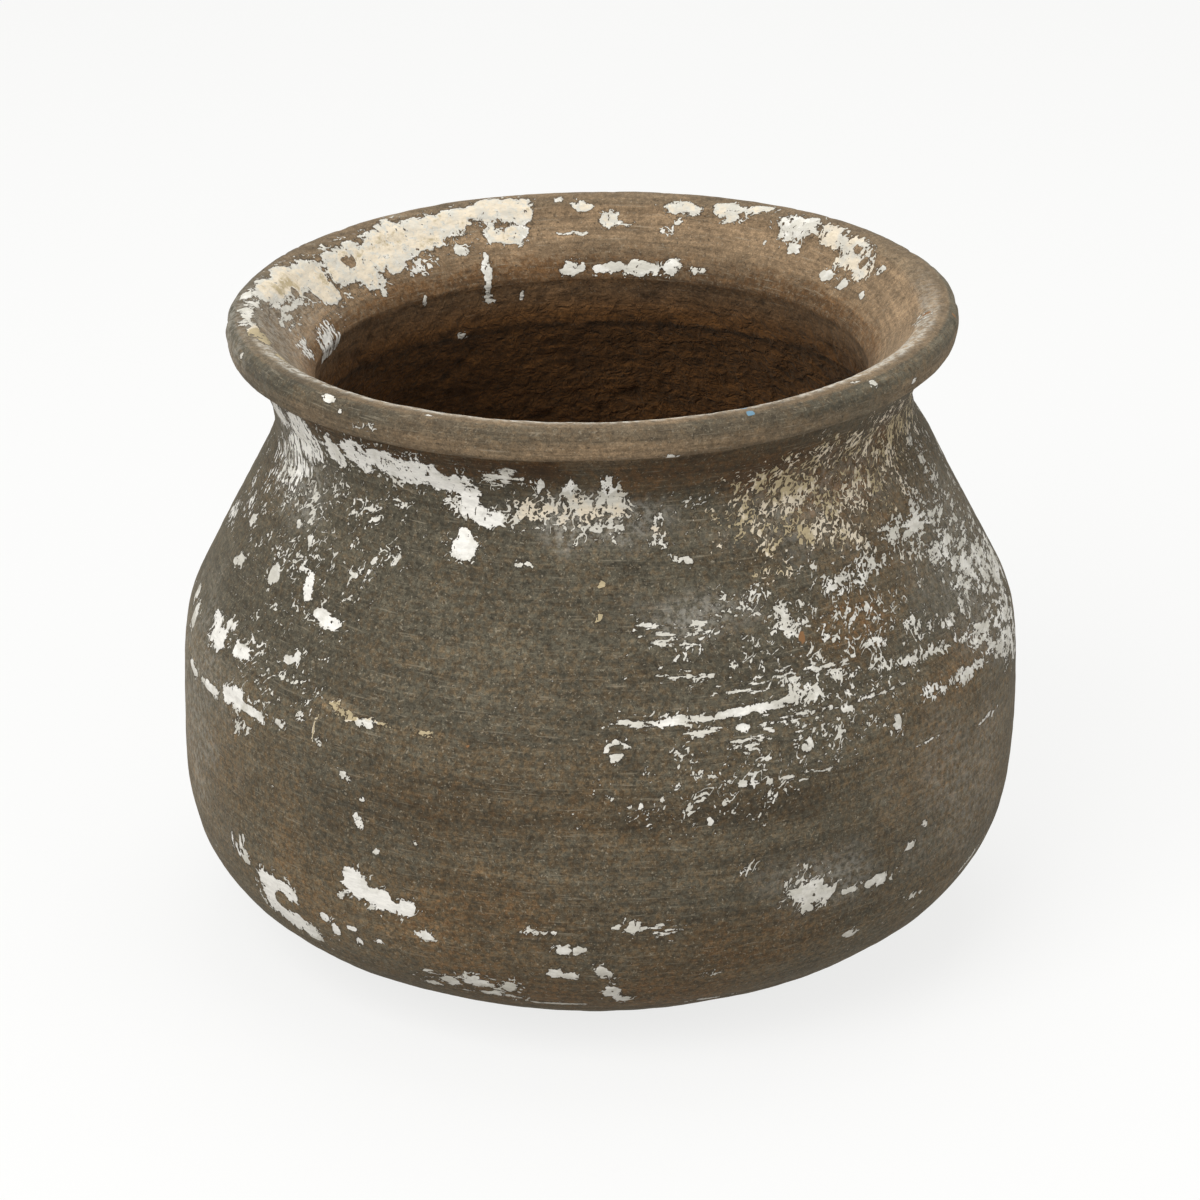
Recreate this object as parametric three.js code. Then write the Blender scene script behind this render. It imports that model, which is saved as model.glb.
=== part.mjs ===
// Terracotta water pot: six sections of clay, set one on another, and the soft coils that lute them together.
// Millimetres, +Z up, with the origin at the middle of the flat underside.
import * as THREE from "three";

// Base and bowl
const bellyRadius = 125; // outside, at the widest ring
const bellyHeight = 67; // height of the widest ring
const bowlFullness = 3.1; // 2 is an ellipse, higher is boxier
const footRadius = 52; // flat part of the underside
const wall = 8.5; // thickness of the body wall
const floorThickness = 10;
const baseJointHeight = 16; // outside, where the wall stands on the base dish
const bellyJointDrop = 7; // widest ring down to the joint in the belly

// Waist and shoulder
const shoulderRise = 33; // widest ring to the corner where the slope starts
const shoulderInset = 1.5; // how much narrower that corner is than the widest ring
const shoulderSoftness = 1.2; // rounding of that corner
const slopeRise = 62; // corner to neck
const waistRise = 10; // corner to the joint at the waist

// Neck and flare
const neckRadius = 91.5; // outside, in the corner under the flare
const throatInset = 11; // neck corner to the narrowest ring of the mouth
const throatRise = 11.5;
const throatSoftness = 6; // rounding of the edge of the mouth
const collarDrop = 2; // neck corner down to the seat of the collar

// Lip
const lipOverhang = 15; // neck corner to the face of the lip
const lipThickness = 9.8; // height of the lip
const lipDepth = 10.5; // from the face back to where the flare meets the lip's top
const lipRounding = 4; // of its upper and lower edge
const lipReturn = 2.5; // flat of its underside, behind the rounded edge
const lipFall = 2; // how much its top falls towards the flare
const flareRise = 9; // edge of the mouth to the lip's lower edge
const lipJointBack = 3; // back of the lip to the joint with the flare

// Joints and coils
const jointRidge = 3; // ridge on a section's upper edge that keys into the next section
const jointGap = 0.35; // clearance filled by a film of slip
const coilHeight = 2; // how far a coil stands off the wall
const coilHalfWidth = 7;
const baseCoilHalfWidth = 5.5; // measured outwards from the axis
const neckCoilLeg = 7; // reach of the neck coil along both faces of its corner
const neckCoilHollow = 0.5; // 0 is a straight face, 1 follows the corner

// Smoothness of the turned shapes
const sides = 60;
const curvedSteps = 7;
const straightSteps = 2;
const roundSteps = 4;
const coilSteps = 5;
const tangentStep = 0.01;

const bellyJointHeight = bellyHeight - bellyJointDrop;
const cornerHeight = bellyHeight + shoulderRise;
const waistHeight = cornerHeight + waistRise;
const neckHeight = cornerHeight + slopeRise;
const collarSeat = neckHeight - collarDrop;
const throatRadius = neckRadius - throatInset;
const throatHeight = neckHeight + throatRise;
const lipRadius = neckRadius + lipOverhang;
const lipBottom = throatHeight + flareRise;
const lipTop = lipBottom + lipThickness;

const clayGreyBrown = 0x5c5346;
const clayWarmBrown = 0x6b5843;
const clayDarkBrown = 0x4a3827;
const clayRoughness = 0.93;

const at = (radius, height) => new THREE.Vector2(radius, height);

// Evenly spaced samples from start to end, both included
function samples(start, end, steps, point) {
  return Array.from({ length: steps + 1 }, (unused, i) => point(start + ((end - start) * i) / steps));
}

// The bowl below the widest ring is a quarter of a superellipse, inside and outside
const innerWidest = bellyRadius - wall;
const innerDepth = bellyHeight - floorThickness;
const outerDepth = bellyHeight / (1 - (footRadius / bellyRadius) ** bowlFullness) ** (1 / bowlFullness);
const quarter = (share) => (1 - share ** bowlFullness) ** (1 / bowlFullness);
const undersideAt = (radius) => at(radius, bellyHeight - outerDepth * quarter(radius / bellyRadius));
const floorAt = (radius) => at(radius, bellyHeight - innerDepth * quarter(radius / innerWidest));

// The wall above it is a gently closing belly and a straight slope, with their corner rounded
const slope = (bellyRadius - shoulderInset - neckRadius) / slopeRise;
const wallAcross = wall * Math.hypot(1, slope);
const wallDrop = (wall * slope) / Math.hypot(1, slope);

function outerRadius(height) {
  if (height < bellyHeight) return bellyRadius * quarter((bellyHeight - height) / outerDepth);
  const belly = bellyRadius - shoulderInset * ((height - bellyHeight) / shoulderRise) ** 2;
  const straight = neckRadius + slope * (neckHeight - height);
  const apart = Math.abs(belly - straight);
  return Math.min(belly, straight) - shoulderSoftness * Math.log(1 + Math.exp(-apart / shoulderSoftness));
}

// The wall's thickness is measured square to it, so across the slope it is wider than across the belly
function innerRadius(height) {
  if (height < bellyHeight) return innerWidest * quarter((bellyHeight - height) / innerDepth);
  const onSlope = Math.min(1, (height - bellyHeight) / (waistHeight - bellyHeight));
  return outerRadius(height) - wall - (wallAcross - wall) * onSlope;
}

const onOuter = (height) => at(outerRadius(height), height);
const onInner = (height) => at(innerRadius(height), height);

// A joint through the wall runs from the outside to the inside. The section below carries a ridge in its
// middle, and the section above is grooved over it and keeps the slip's clearance.
function joint(outside, inside) {
  const across = inside.clone().sub(outside).normalize();
  const upwards = at(across.y, -across.x);
  const ridge = outside.clone().lerp(inside, 1 / 2).addScaledVector(upwards, jointRidge);
  const below = [outside, ridge, inside];
  const above = below.map((point) => point.clone().addScaledVector(upwards, jointGap)).reverse();
  return { below, above };
}

const baseJoint = joint(onOuter(baseJointHeight), floorAt(outerRadius(baseJointHeight) - wall));
const bellyJoint = joint(onOuter(bellyJointHeight), onInner(bellyJointHeight));
const waistJoint = joint(onOuter(waistHeight), onInner(waistHeight - wallDrop));
const collarJoint = joint(onOuter(collarSeat), onInner(collarSeat - wallDrop));

const insideOf = (lowerJoint) => lowerJoint.above[0];
const outsideOf = (lowerJoint) => lowerJoint.above[2];

// Turns an outline of radii and heights round the pot's axis
function turned(outline) {
  const geometry = new THREE.LatheGeometry(outline, sides);
  return geometry.rotateX(Math.PI / 2);
}

const turnedRing = (outline) => turned([...outline, outline[0]]);

function clayPiece(name, geometry, colour) {
  const material = new THREE.MeshStandardMaterial({ color: colour, roughness: clayRoughness, metalness: 0 });
  const mesh = new THREE.Mesh(geometry, material);
  mesh.name = name;
  return mesh;
}

// Base dish: flat underside, curved edge and the pot's floor
function baseDish() {
  const [outside, ridge, inside] = baseJoint.below;
  return turned([
    at(0, 0),
    ...samples(footRadius, outside.x, curvedSteps, undersideAt),
    ridge,
    ...samples(inside.x, footRadius, curvedSteps, floorAt),
    floorAt(0),
  ]);
}

// A section of wall between two joints: up the outside, over the upper joint, down the inside
function wallSection(lowerJoint, upperJoint, steps) {
  const [outside, ridge, inside] = upperJoint.below;
  return turnedRing([
    ...samples(outsideOf(lowerJoint).y, outside.y, steps, onOuter).slice(1),
    ridge,
    ...samples(inside.y, insideOf(lowerJoint).y, steps, onInner).slice(0, -1),
    ...lowerJoint.above,
  ]);
}

// The flare runs from the edge of the mouth to the back of the lip, over an underside that leans outwards
const neckCorner = at(neckRadius, neckHeight);
const mouthEdge = at(throatRadius, throatHeight);
const flareTop = at(lipRadius - lipDepth, lipTop - lipFall);
const undersideTop = at(lipRadius - lipRounding - lipReturn, lipBottom);
const alongUnderside = undersideTop.clone().sub(neckCorner).normalize();
const alongFlare = flareTop.clone().sub(mouthEdge).normalize();
const lipJoint = joint(
  undersideTop.clone().addScaledVector(alongUnderside, -lipJointBack),
  flareTop.clone().addScaledVector(alongFlare, -lipJointBack),
);

// Neck collar: seated on the shoulder, narrowest at the edge of the mouth and flared to the lip
function neckCollar() {
  const alongThroat = insideOf(collarJoint).clone().sub(mouthEdge).normalize();
  const mouth = new THREE.QuadraticBezierCurve(
    mouthEdge.clone().addScaledVector(alongFlare, throatSoftness),
    mouthEdge,
    mouthEdge.clone().addScaledVector(alongThroat, throatSoftness),
  );
  return turnedRing([neckCorner, ...lipJoint.below, ...mouth.getPoints(roundSteps), ...collarJoint.above]);
}

// Rolled lip: a band with rounded edges, grooved at its back over the ridge of the flare
function rimLip() {
  const roundedEdge = (height, start) => {
    const centre = lipRadius - lipRounding;
    const arc = new THREE.EllipseCurve(centre, height, lipRounding, lipRounding, start, start + Math.PI / 2);
    return arc.getPoints(roundSteps);
  };
  return turnedRing([
    undersideTop,
    ...roundedEdge(lipBottom + lipRounding, -Math.PI / 2),
    ...roundedEdge(lipTop - lipRounding, 0),
    flareTop,
    ...lipJoint.above,
  ]);
}

// A flattened coil over a joint: its back follows the surface, and its front swells and closes again.
// The surface is followed so that the room inside the pot lies on its left.
function coil(centre, halfWidth, surface) {
  const standing = (place, height) => {
    const along = surface(place + tangentStep).sub(surface(place - tangentStep)).normalize();
    return surface(place).addScaledVector(at(-along.y, along.x), jointGap + height);
  };
  const shares = samples(-1, 1, coilSteps, (share) => share);
  const back = shares.map((share) => standing(centre + halfWidth * share, 0));
  const front = shares.map((share) => standing(centre + halfWidth * share, coilHeight * (1 - share ** 2)));
  return turnedRing([...back, ...front.slice(1, -1).reverse()]);
}

// The neck coil lies outside, in the corner between shoulder and flare, and has a hollow face
function neckCoil() {
  const downSlope = at(slope, -1).normalize();
  const outOfCorner = downSlope.clone().add(alongUnderside).normalize();
  const halfCorner = Math.acos(downSlope.dot(alongUnderside)) / 2;
  const corner = neckCorner.clone().addScaledVector(outOfCorner, jointGap / Math.sin(halfCorner));
  const lower = corner.clone().addScaledVector(downSlope, neckCoilLeg);
  const upper = corner.clone().addScaledVector(alongUnderside, neckCoilLeg);
  const bend = lower.clone().lerp(upper, 1 / 2).lerp(corner, neckCoilHollow);
  const face = new THREE.QuadraticBezierCurve(lower, bend, upper);
  return turnedRing([...face.getPoints(roundSteps), corner]);
}

const baseCoil = () => coil(insideOf(baseJoint).x, baseCoilHalfWidth, floorAt);
const bellyCoil = () => coil(insideOf(bellyJoint).y, coilHalfWidth, onInner);
const waistCoil = () => coil(insideOf(waistJoint).y, coilHalfWidth, onInner);

const waterPot = new THREE.Group();
waterPot.add(
  clayPiece("base_dish", baseDish(), clayGreyBrown),
  clayPiece("base_coil", baseCoil(), clayDarkBrown),
  clayPiece("lower_wall", wallSection(baseJoint, bellyJoint, curvedSteps), clayGreyBrown),
  clayPiece("belly_coil", bellyCoil(), clayDarkBrown),
  clayPiece("belly_band", wallSection(bellyJoint, waistJoint, curvedSteps), clayGreyBrown),
  clayPiece("waist_coil", waistCoil(), clayDarkBrown),
  clayPiece("shoulder_wall", wallSection(waistJoint, collarJoint, straightSteps), clayGreyBrown),
  clayPiece("neck_coil", neckCoil(), clayGreyBrown),
  clayPiece("neck_collar", neckCollar(), clayWarmBrown),
  clayPiece("rim_lip", rimLip(), clayWarmBrown),
);

export default waterPot;
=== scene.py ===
import math
from collections import namedtuple
from itertools import product

import bpy
import numpy as np
from bpy.props import FloatProperty, FloatVectorProperty, PointerProperty
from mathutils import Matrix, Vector


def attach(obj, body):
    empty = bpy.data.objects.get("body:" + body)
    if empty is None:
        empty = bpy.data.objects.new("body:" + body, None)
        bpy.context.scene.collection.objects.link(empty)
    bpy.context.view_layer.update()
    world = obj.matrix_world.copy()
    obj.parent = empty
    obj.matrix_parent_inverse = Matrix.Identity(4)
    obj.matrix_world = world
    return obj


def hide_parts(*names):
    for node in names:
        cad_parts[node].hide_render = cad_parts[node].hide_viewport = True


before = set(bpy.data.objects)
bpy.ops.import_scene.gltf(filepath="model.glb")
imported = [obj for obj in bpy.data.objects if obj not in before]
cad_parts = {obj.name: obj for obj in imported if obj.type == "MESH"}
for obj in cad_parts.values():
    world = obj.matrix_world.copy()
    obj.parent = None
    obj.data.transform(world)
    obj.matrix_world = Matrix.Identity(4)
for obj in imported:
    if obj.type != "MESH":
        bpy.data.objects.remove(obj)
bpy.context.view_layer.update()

bl_info = {
    "name": "Terracotta water pot",
    "version": (1, 0, 0),
    "blender": (4, 5, 0),
    "location": "3D View > Sidebar > Water pot",
    "description": "Builds an old limewashed clay pot around its CAD frame",
    "category": "Object",
}

MM = 0.001
SECTIONS = ("base_dish", "lower_wall", "belly_band", "shoulder_wall", "neck_collar", "rim_lip")
COILS = ("base_coil", "belly_coil", "waist_coil", "neck_coil")
OUTSIDE_COIL = "neck_coil"


def on_screen(red, green, blue):
    """A colour as it is picked on screen, 0 to 255, in the linear values that shaders take."""
    shares = np.array([red, green, blue]) / 255
    linear = np.where(shares <= 0.04045, shares / 12.92, ((shares + 0.055) / 1.055) ** 2.4)
    return (*(float(level) for level in linear), 1.0)


def colour_property(name, description, red, green, blue):
    """A colour that can be changed in the sidebar."""
    default = on_screen(red, green, blue)
    return FloatVectorProperty(
        name=name, description=description, subtype="COLOR", size=4, min=0.0, max=1.0, default=default)


def length_property(name, description, millimetres):
    """A length that can be changed in the sidebar."""
    return FloatProperty(
        name=name, description=description, subtype="DISTANCE", unit="LENGTH", precision=5,
        default=millimetres * MM)


def angle_property(name, description, degrees):
    """An angle that can be changed in the sidebar."""
    return FloatProperty(
        name=name, description=description, subtype="ANGLE", unit="ROTATION", default=math.radians(degrees))


def power_property(name, description, watts):
    """A lamp's power that can be changed in the sidebar."""
    return FloatProperty(name=name, description=description, unit="POWER", default=watts)


class ClaySettings(bpy.types.PropertyGroup):
    """Colours of the bare clay."""

    grey: colour_property("Weathered grey", "Clay of the shoulder and the lip", 83, 78, 65)
    brown: colour_property("Body brown", "Clay low on the body, where the grey has worn off", 95, 79, 57)
    warm: colour_property("Flare brown", "Clay on the top of the flare", 142, 118, 90)
    dark: colour_property("Inside brown", "Clay inside the pot", 95, 62, 27)
    rust: colour_property("Rust brown", "Clay where the fire left it redder", 120, 88, 55)
    fleck: colour_property("Light grit", "Pale grains that show in the clay", 158, 148, 128)
    # Also darkens the rim round the lime: dirt, with a painted shadow of the lime's edge.
    pit: colour_property("Dark pits", "Soot and dirt in the pores", 44, 37, 29)
    orange: colour_property("Fresh clay", "Small spots where the skin is chipped", 134, 98, 64)
    blue: colour_property("Blue paint", "Small smear on the lip", 104, 146, 170)


class LimeSettings(bpy.types.PropertyGroup):
    """Colours and thickness of the limewash."""

    white: colour_property("Lime white", "Thick, clean lime", 242, 239, 231)
    worn: colour_property("Worn lime", "Weathered lime", 209, 205, 193)
    cream: colour_property("Lime cream", "Stained lime", 226, 213, 190)
    tan: colour_property("Lime tan", "Thin, dirty lime", 184, 168, 134)
    thickness: length_property("Thickness", "How far thick lime stands off the clay", 0.25)


class ReliefSettings(bpy.types.PropertyGroup):
    """Depths of the marks that the making left in the clay."""

    lumps: length_property("Lumps", "Broad unevenness of the hand-made wall", 0.4)
    dents: length_property("Dents", "Marks of beating and handling", 0.2)
    roughness: length_property("Roughness", "Fine roughness of the outside", 0.07)
    wheel: length_property("Wheel lines", "Depth of the lines of turning on the outside", 0.07)
    inside: length_property("Inside roughness", "Lumps, pits and wiping marks of the inside", 0.6)
    groove: length_property("Grooves", "Depth of the lines scored at the waist and under the lip", 0.45)
    chips: length_property("Chips", "Depth of the worn spots of the lip", 0.5)
    tilt: angle_property("Rim tilt", "How much the rim leans down to the left", 0.95)


class StageSettings(bpy.types.PropertyGroup):
    """Camera, floor and lights."""

    elevation: angle_property("Camera elevation", "Angle of the camera above the horizon", 23.29)
    distance: length_property("Camera distance", "From the camera to the point it aims at", 1250)
    aim: length_property("Aim height", "Height of the point that the camera aims at", 97.11)
    lens: FloatProperty(
        name="Lens", description="Focal length", subtype="DISTANCE_CAMERA", unit="CAMERA", default=124.87)
    floor: colour_property("Floor", "Pale floor", 250, 250, 249)
    key_power: power_property("Key light", "Power of the key light", 41)
    fill_power: power_property("Fill light", "Power of the fill light", 9)
    top_power: power_property("Top light", "Power of the top light", 11)
    ambient: FloatProperty(name="Ambient", description="Strength of the room's even light", default=0.42)


class WaterPotSettings(bpy.types.PropertyGroup):
    """All settings of the pot."""

    clay: PointerProperty(type=ClaySettings, name="Clay", description="Bare clay")
    lime: PointerProperty(type=LimeSettings, name="Lime", description="Limewash")
    relief: PointerProperty(type=ReliefSettings, name="Relief", description="Marks of making")
    stage: PointerProperty(type=StageSettings, name="Stage", description="Camera, floor and lights")


# Outlines of the CAD sections, closed and made dense

PLANE_TOLERANCE = 1e-5
PLACE_DIGITS = 6
JOINT_REACH = 0.6 * MM
COIL_SINK = 0.6 * MM
COIL_SEARCH_STEP = 0.3 * MM
CORNER_TURN = math.radians(32)
OUTER_STEP = 0.95 * MM
INNER_STEP = 1.7 * MM
JOINT_STEP = 2.5 * MM
FINE_INSIDE = ("neck_collar", "rim_lip")
SPARSE_RADIUS = 52 * MM
SPARSE_ROWS = 5
INWARDS = np.array([-0.9, 0.45])
INSIDE_TURN = (-0.1, 0.4)

Outline = namedtuple("Outline", "points inside hidden normals closed")


def smooth_step(low, high, value):
    """0 before low, 1 past high and a soft ramp between them."""
    share = np.clip((value - low) / (high - low), 0, 1)
    return share * share * (3 - 2 * share)


def outline_of(node):
    """The node's outline where y is 0, as ordered radii and heights, with the clay on its left."""
    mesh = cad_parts[node].data
    places = np.empty(len(mesh.vertices) * 3)
    mesh.vertices.foreach_get("co", places)
    places = places.reshape(-1, 3)
    edges = np.empty(len(mesh.edges) * 2, dtype=int)
    mesh.edges.foreach_get("vertices", edges)
    in_plane = (np.abs(places[:, 1]) < PLANE_TOLERANCE) & (places[:, 0] > -PLANE_TOLERANCE)
    links = {}
    for pair in edges.reshape(-1, 2):
        if in_plane[pair].all():
            first, second = (tuple(np.round(places[i, ::2], PLACE_DIGITS)) for i in pair)
            if first != second:
                links.setdefault(first, set()).add(second)
                links.setdefault(second, set()).add(first)
    ends = sorted((point for point in links if len(links[point]) == 1), key=lambda point: point[1])
    path = [ends[0] if ends else min(links)]
    while True:
        onward = [point for point in links[path[-1]] if point not in path]
        if not onward:
            break
        path.append(max(onward))
    points = np.array(path)
    if len(points) != len(links):
        raise RuntimeError(f"the outline of {node} isn't one line")
    ahead = np.roll(points, -1, axis=0)
    turned_left = (points[:, 0] * ahead[:, 1] - ahead[:, 0] * points[:, 1]).sum() > 0
    return points if turned_left or ends else points[::-1]


def rounded(points, step):
    """A smooth curve through the points, as new points about a step apart."""
    lengths = np.hypot(*np.diff(points, axis=0).T)
    places = np.r_[0, np.cumsum(lengths)]
    slopes = np.gradient(points, places, axis=0, edge_order=1)
    count = max(2, math.ceil(places[-1] / step))
    wanted = np.linspace(0, places[-1], count + 1)
    index = np.clip(np.searchsorted(places, wanted, side="right") - 1, 0, len(lengths) - 1)
    span = lengths[index][:, None]
    share = (wanted - places[index])[:, None] / span
    start = (1 + 2 * share) * (1 - share) ** 2 * points[index]
    start_slope = share * (1 - share) ** 2 * span * slopes[index]
    end = share ** 2 * (3 - 2 * share) * points[index + 1]
    end_slope = share ** 2 * (share - 1) * span * slopes[index + 1]
    return start + start_slope + end + end_slope


def straight(points, step):
    """Points about a step apart on the straight lines between the points."""
    pieces = []
    for first, second in zip(points[:-1], points[1:]):
        count = max(1, math.ceil(np.hypot(*(second - first)) / step))
        pieces.append(first + (second - first) * np.linspace(0, 1, count + 1)[:-1, None])
    return np.vstack([*pieces, points[-1:]])


def close_joints(outlines):
    """Closes the joints and sinks the coils into the walls. Says which points are in a joint."""
    closed = {}
    for node in SECTIONS:
        others = np.vstack([outlines[other] for other in SECTIONS if other != node])
        apart = np.hypot(*(others[None] - outlines[node][:, None]).transpose(2, 0, 1))
        jointed = apart.min(axis=1) < JOINT_REACH
        halfway = (outlines[node] + others[apart.argmin(axis=1)]) / 2
        closed[node] = (np.where(jointed[:, None], halfway, outlines[node]), jointed)
    rings = [np.vstack([points, points[:1]]) for points, _ in closed.values()]
    walls = np.vstack([straight(ring, COIL_SEARCH_STEP) for ring in rings])
    for node in COILS:
        apart = walls[None] - outlines[node][:, None]
        far = np.hypot(*apart.transpose(2, 0, 1))
        nearest = far.argmin(axis=1)
        rows = np.arange(len(nearest))
        inwards = apart[rows, nearest] / far[rows, nearest][:, None]
        closed[node] = (outlines[node] + COIL_SINK * inwards, far[rows, nearest] < JOINT_REACH)
    return closed


def dense_outline(node, points, jointed):
    """The outline with smooth runs rounded, corners and joints kept, and the direction its skin faces."""
    closed = points[:, 0].min() > PLANE_TOLERANCE
    before = points - np.roll(points, 1, axis=0)
    after = np.roll(points, -1, axis=0) - points
    cross = before[:, 0] * after[:, 1] - before[:, 1] * after[:, 0]
    bend = np.abs(np.arctan2(cross, (before * after).sum(axis=1)))
    corner = jointed | (bend > CORNER_TURN)
    order = np.arange(len(points))
    if closed:
        first = int(np.flatnonzero(corner)[0])
        order = np.r_[order[first:], order[:first + 1]]
    corner[order[[0, -1]]] = True
    stops = np.flatnonzero(corner[order])
    runs = []
    for start, stop in zip(stops[:-1], stops[1:]):
        run = order[start:stop + 1]
        hidden = bool(jointed[run].all()) and len(run) == 2
        runs.append((*dense_run(node, points[run], hidden, closed), hidden))
    outline = joined_runs(runs, closed)
    if node in COILS:
        outline = outline._replace(inside=np.full(len(outline.points), float(node != OUTSIDE_COIL)))
    return outline


def dense_run(node, points, hidden, closed):
    """One run of an outline in rows about a step apart, and the direction that each row faces."""
    chord = points[-1] - points[0]
    facing = np.array([chord[1], -chord[0]])
    step = OUTER_STEP if node in FINE_INSIDE or facing @ INWARDS < 0 else INNER_STEP
    dense = straight(points, JOINT_STEP) if hidden else rounded(points, step)
    dense[:, 1] = np.maximum(dense[:, 1], 0)
    if not closed:
        kept = (dense[:, 0] > SPARSE_RADIUS) | (np.arange(len(dense)) % SPARSE_ROWS == 0)
        kept[[0, -1]] = True
        dense = dense[kept]
    along = np.gradient(dense, axis=0)
    normals = np.stack([along[:, 1], -along[:, 0]], axis=1)
    return dense, normals / np.hypot(*normals.T)[:, None]


def joined_runs(runs, closed):
    """One outline from runs that share their end points. A skin's end counts as skin, not as joint."""
    points, normals, hidden = [], [], []
    for dense, facing, in_joint in runs:
        if points and np.hypot(*(points[-1] - dense[0])) < PLANE_TOLERANCE:
            if hidden[-1] and not in_joint:
                normals[-1] = facing[0]
                hidden[-1] = False
            dense, facing = dense[1:], facing[1:]
        points.extend(dense)
        normals.extend(facing)
        hidden.extend([in_joint] * len(dense))
    if closed:
        if hidden[0] and not hidden[-1]:
            normals[0] = normals[-1]
            hidden[0] = False
        points, normals, hidden = points[:-1], normals[:-1], hidden[:-1]
    points, normals, hidden = np.array(points), np.array(normals), np.array(hidden)
    inside = smooth_step(*INSIDE_TURN, normals @ INWARDS)
    return Outline(points, inside, hidden, normals, closed)


CLOSED = close_joints({node: outline_of(node) for node in SECTIONS + COILS})
OUTLINES = {node: dense_outline(node, points, jointed) for node, (points, jointed) in CLOSED.items()}


# Seeded noise and the relief of the clay. On a skin, lengths are millimetres and angles degrees

LATTICE = 32
SEEDS = range(12)
TABLES = {seed: np.random.default_rng(seed).random((LATTICE,) * 3) for seed in SEEDS}

# Points of a skin, and their height, distance from the axis and azimuth from the front
Place = namedtuple("Place", "points height radius azimuth")


def noise(points, wavelength, seed):
    """Smooth noise from -1 to 1, the same each time, with lumps about a wavelength apart."""
    scaled = points / wavelength
    whole = np.floor(scaled).astype(int)
    share = scaled - whole
    share = share * share * (3 - 2 * share)
    low, high = whole % LATTICE, (whole + 1) % LATTICE
    sides = [
        ((low[..., axis], 1 - share[..., axis]), (high[..., axis], share[..., axis]))
        for axis in range(3)]
    total = 0
    for (x, x_share), (y, y_share), (z, z_share) in product(*sides):
        total = total + TABLES[seed][x, y, z] * x_share * y_share * z_share
    return total * 2 - 1


def turn_apart(azimuth, middle):
    """Degrees from middle to azimuth, the short way round."""
    return (azimuth - middle + 180) % 360 - 180


def ridge(distance, width):
    """1 at no distance, falling off softly over a width to both sides."""
    return np.exp(-(distance / width) ** 2)


DEPTHS = ("lumps", "dents", "roughness", "wheel", "inside", "groove", "chips")

# Wavelength and seed of each kind of unevenness
LUMPS = (42, 0)
DENTS = (17, 1)
ROUGHNESS = (5.5, 2)
GRIT = (2.3, 3)
WHEEL_LINES = (2.4, 4)
FINE_WHEEL_LINES = (1.3, 5)
WIPING = (4.2, 6)
CHIPS = (7, 7)
SMALL_CHIPS = (3.2, 8)
PITS = (4.0, 9)

# How far turning and wiping draw the clay out round the axis
TURNED_OUT = (0.025, 0.025, 1)
FINELY_TURNED_OUT = (0.04, 0.04, 1)
WIPED_OUT = (0.22, 0.22, 1)

# Heights between which a change sets in
STANDING_BAND = (0, 4)
THROWN_BAND = (95, 115)
TILTED_BAND = (120, 165)
DEEP_BAND = (178, 158)
CHIPPED_BAND = (184, 189)

Groove = namedtuple("Groove", "azimuth half_turn height half_width")
GROOVES = (
    Groove(15, 75, 111.0, 0.9),
    Groove(25, 60, 107.6, 0.6),
    Groove(-60, 50, 93.5, 1.0),
    Groove(-36, 30, 181.6, 0.7),
    Groove(40, 45, 185.4, 0.7),
    Groove(-80, 60, 185.6, 0.6),
    Groove(160, 60, 109.0, 0.8),
    Groove(180, 100, 185.2, 0.6),
)
GROOVE_END = (1.0, 0.7)
LIP_EDGE_HEIGHT = 183.4
LIP_EDGE_WIDTH = 0.9
MOUTH_EDGE_HEIGHT = 172.0
MOUTH_EDGE_WIDTH = 1.3
MOUTH_BEAD = 1.2


def relief(settings, place, inside):
    """How far the skin stands off the CAD skin."""
    points, height = place.points, place.height
    depth = {name: getattr(settings, name) / MM for name in DEPTHS}
    lumps = noise(points, *LUMPS)
    dents = noise(points, *DENTS)
    rough = noise(points, *ROUGHNESS)
    grit = noise(points, *GRIT)
    lines = noise(points * TURNED_OUT, *WHEEL_LINES)
    lines = lines + 0.6 * noise(points * FINELY_TURNED_OUT, *FINE_WHEEL_LINES)

    thrown = 0.5 + 0.5 * smooth_step(*THROWN_BAND, height)
    outer = depth["lumps"] * lumps + depth["dents"] * dents + depth["roughness"] * (rough + 0.6 * grit)
    outer = outer + depth["wheel"] * thrown * lines
    for groove in GROOVES:
        turn = np.abs(turn_apart(place.azimuth, groove.azimuth)) / groove.half_turn
        across = ridge(height - groove.height + 0.5 * dents, groove.half_width)
        outer -= depth["groove"] * smooth_step(*GROOVE_END, turn) * across
    outer += depth["groove"] * ridge(height - LIP_EDGE_HEIGHT + 0.4 * dents, LIP_EDGE_WIDTH)
    chipped = smooth_step(0.42, 0.8, noise(points, *CHIPS))
    chipped = chipped + 0.6 * smooth_step(0.5, 0.85, noise(points, *SMALL_CHIPS))
    outer -= depth["chips"] * chipped * smooth_step(*CHIPPED_BAND, height)

    wiping = noise(points * WIPED_OUT, *WIPING)
    deep_marks = 0.9 * dents + 0.6 * rough + 0.25 * grit + 0.45 * wiping - 1.1 * pitted(points)
    flare_marks = 0.2 * rough + 0.12 * grit + 0.22 * lines
    deep = smooth_step(*DEEP_BAND, height)
    inner = depth["inside"] * (0.8 * lumps + deep * deep_marks + (1 - deep) * flare_marks)
    bead = ridge(height - MOUTH_EDGE_HEIGHT + 0.4 * dents, MOUTH_EDGE_WIDTH)
    inner += MOUTH_BEAD * depth["groove"] * bead
    return (outer * (1 - inside) + inner * inside) * smooth_step(*STANDING_BAND, height)


def pitted(points):
    """1 in the pits of the inside."""
    return smooth_step(0.35, 0.9, noise(points, *PITS))


LEAN_HEIGHTS = (0, 18, 40, 67, 110, 148, 165, 193)
LEAN_SHIFTS = (-0.5, -2.0, -0.8, 0.0, 0.4, -0.3, -2.4, -2.4)


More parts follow.
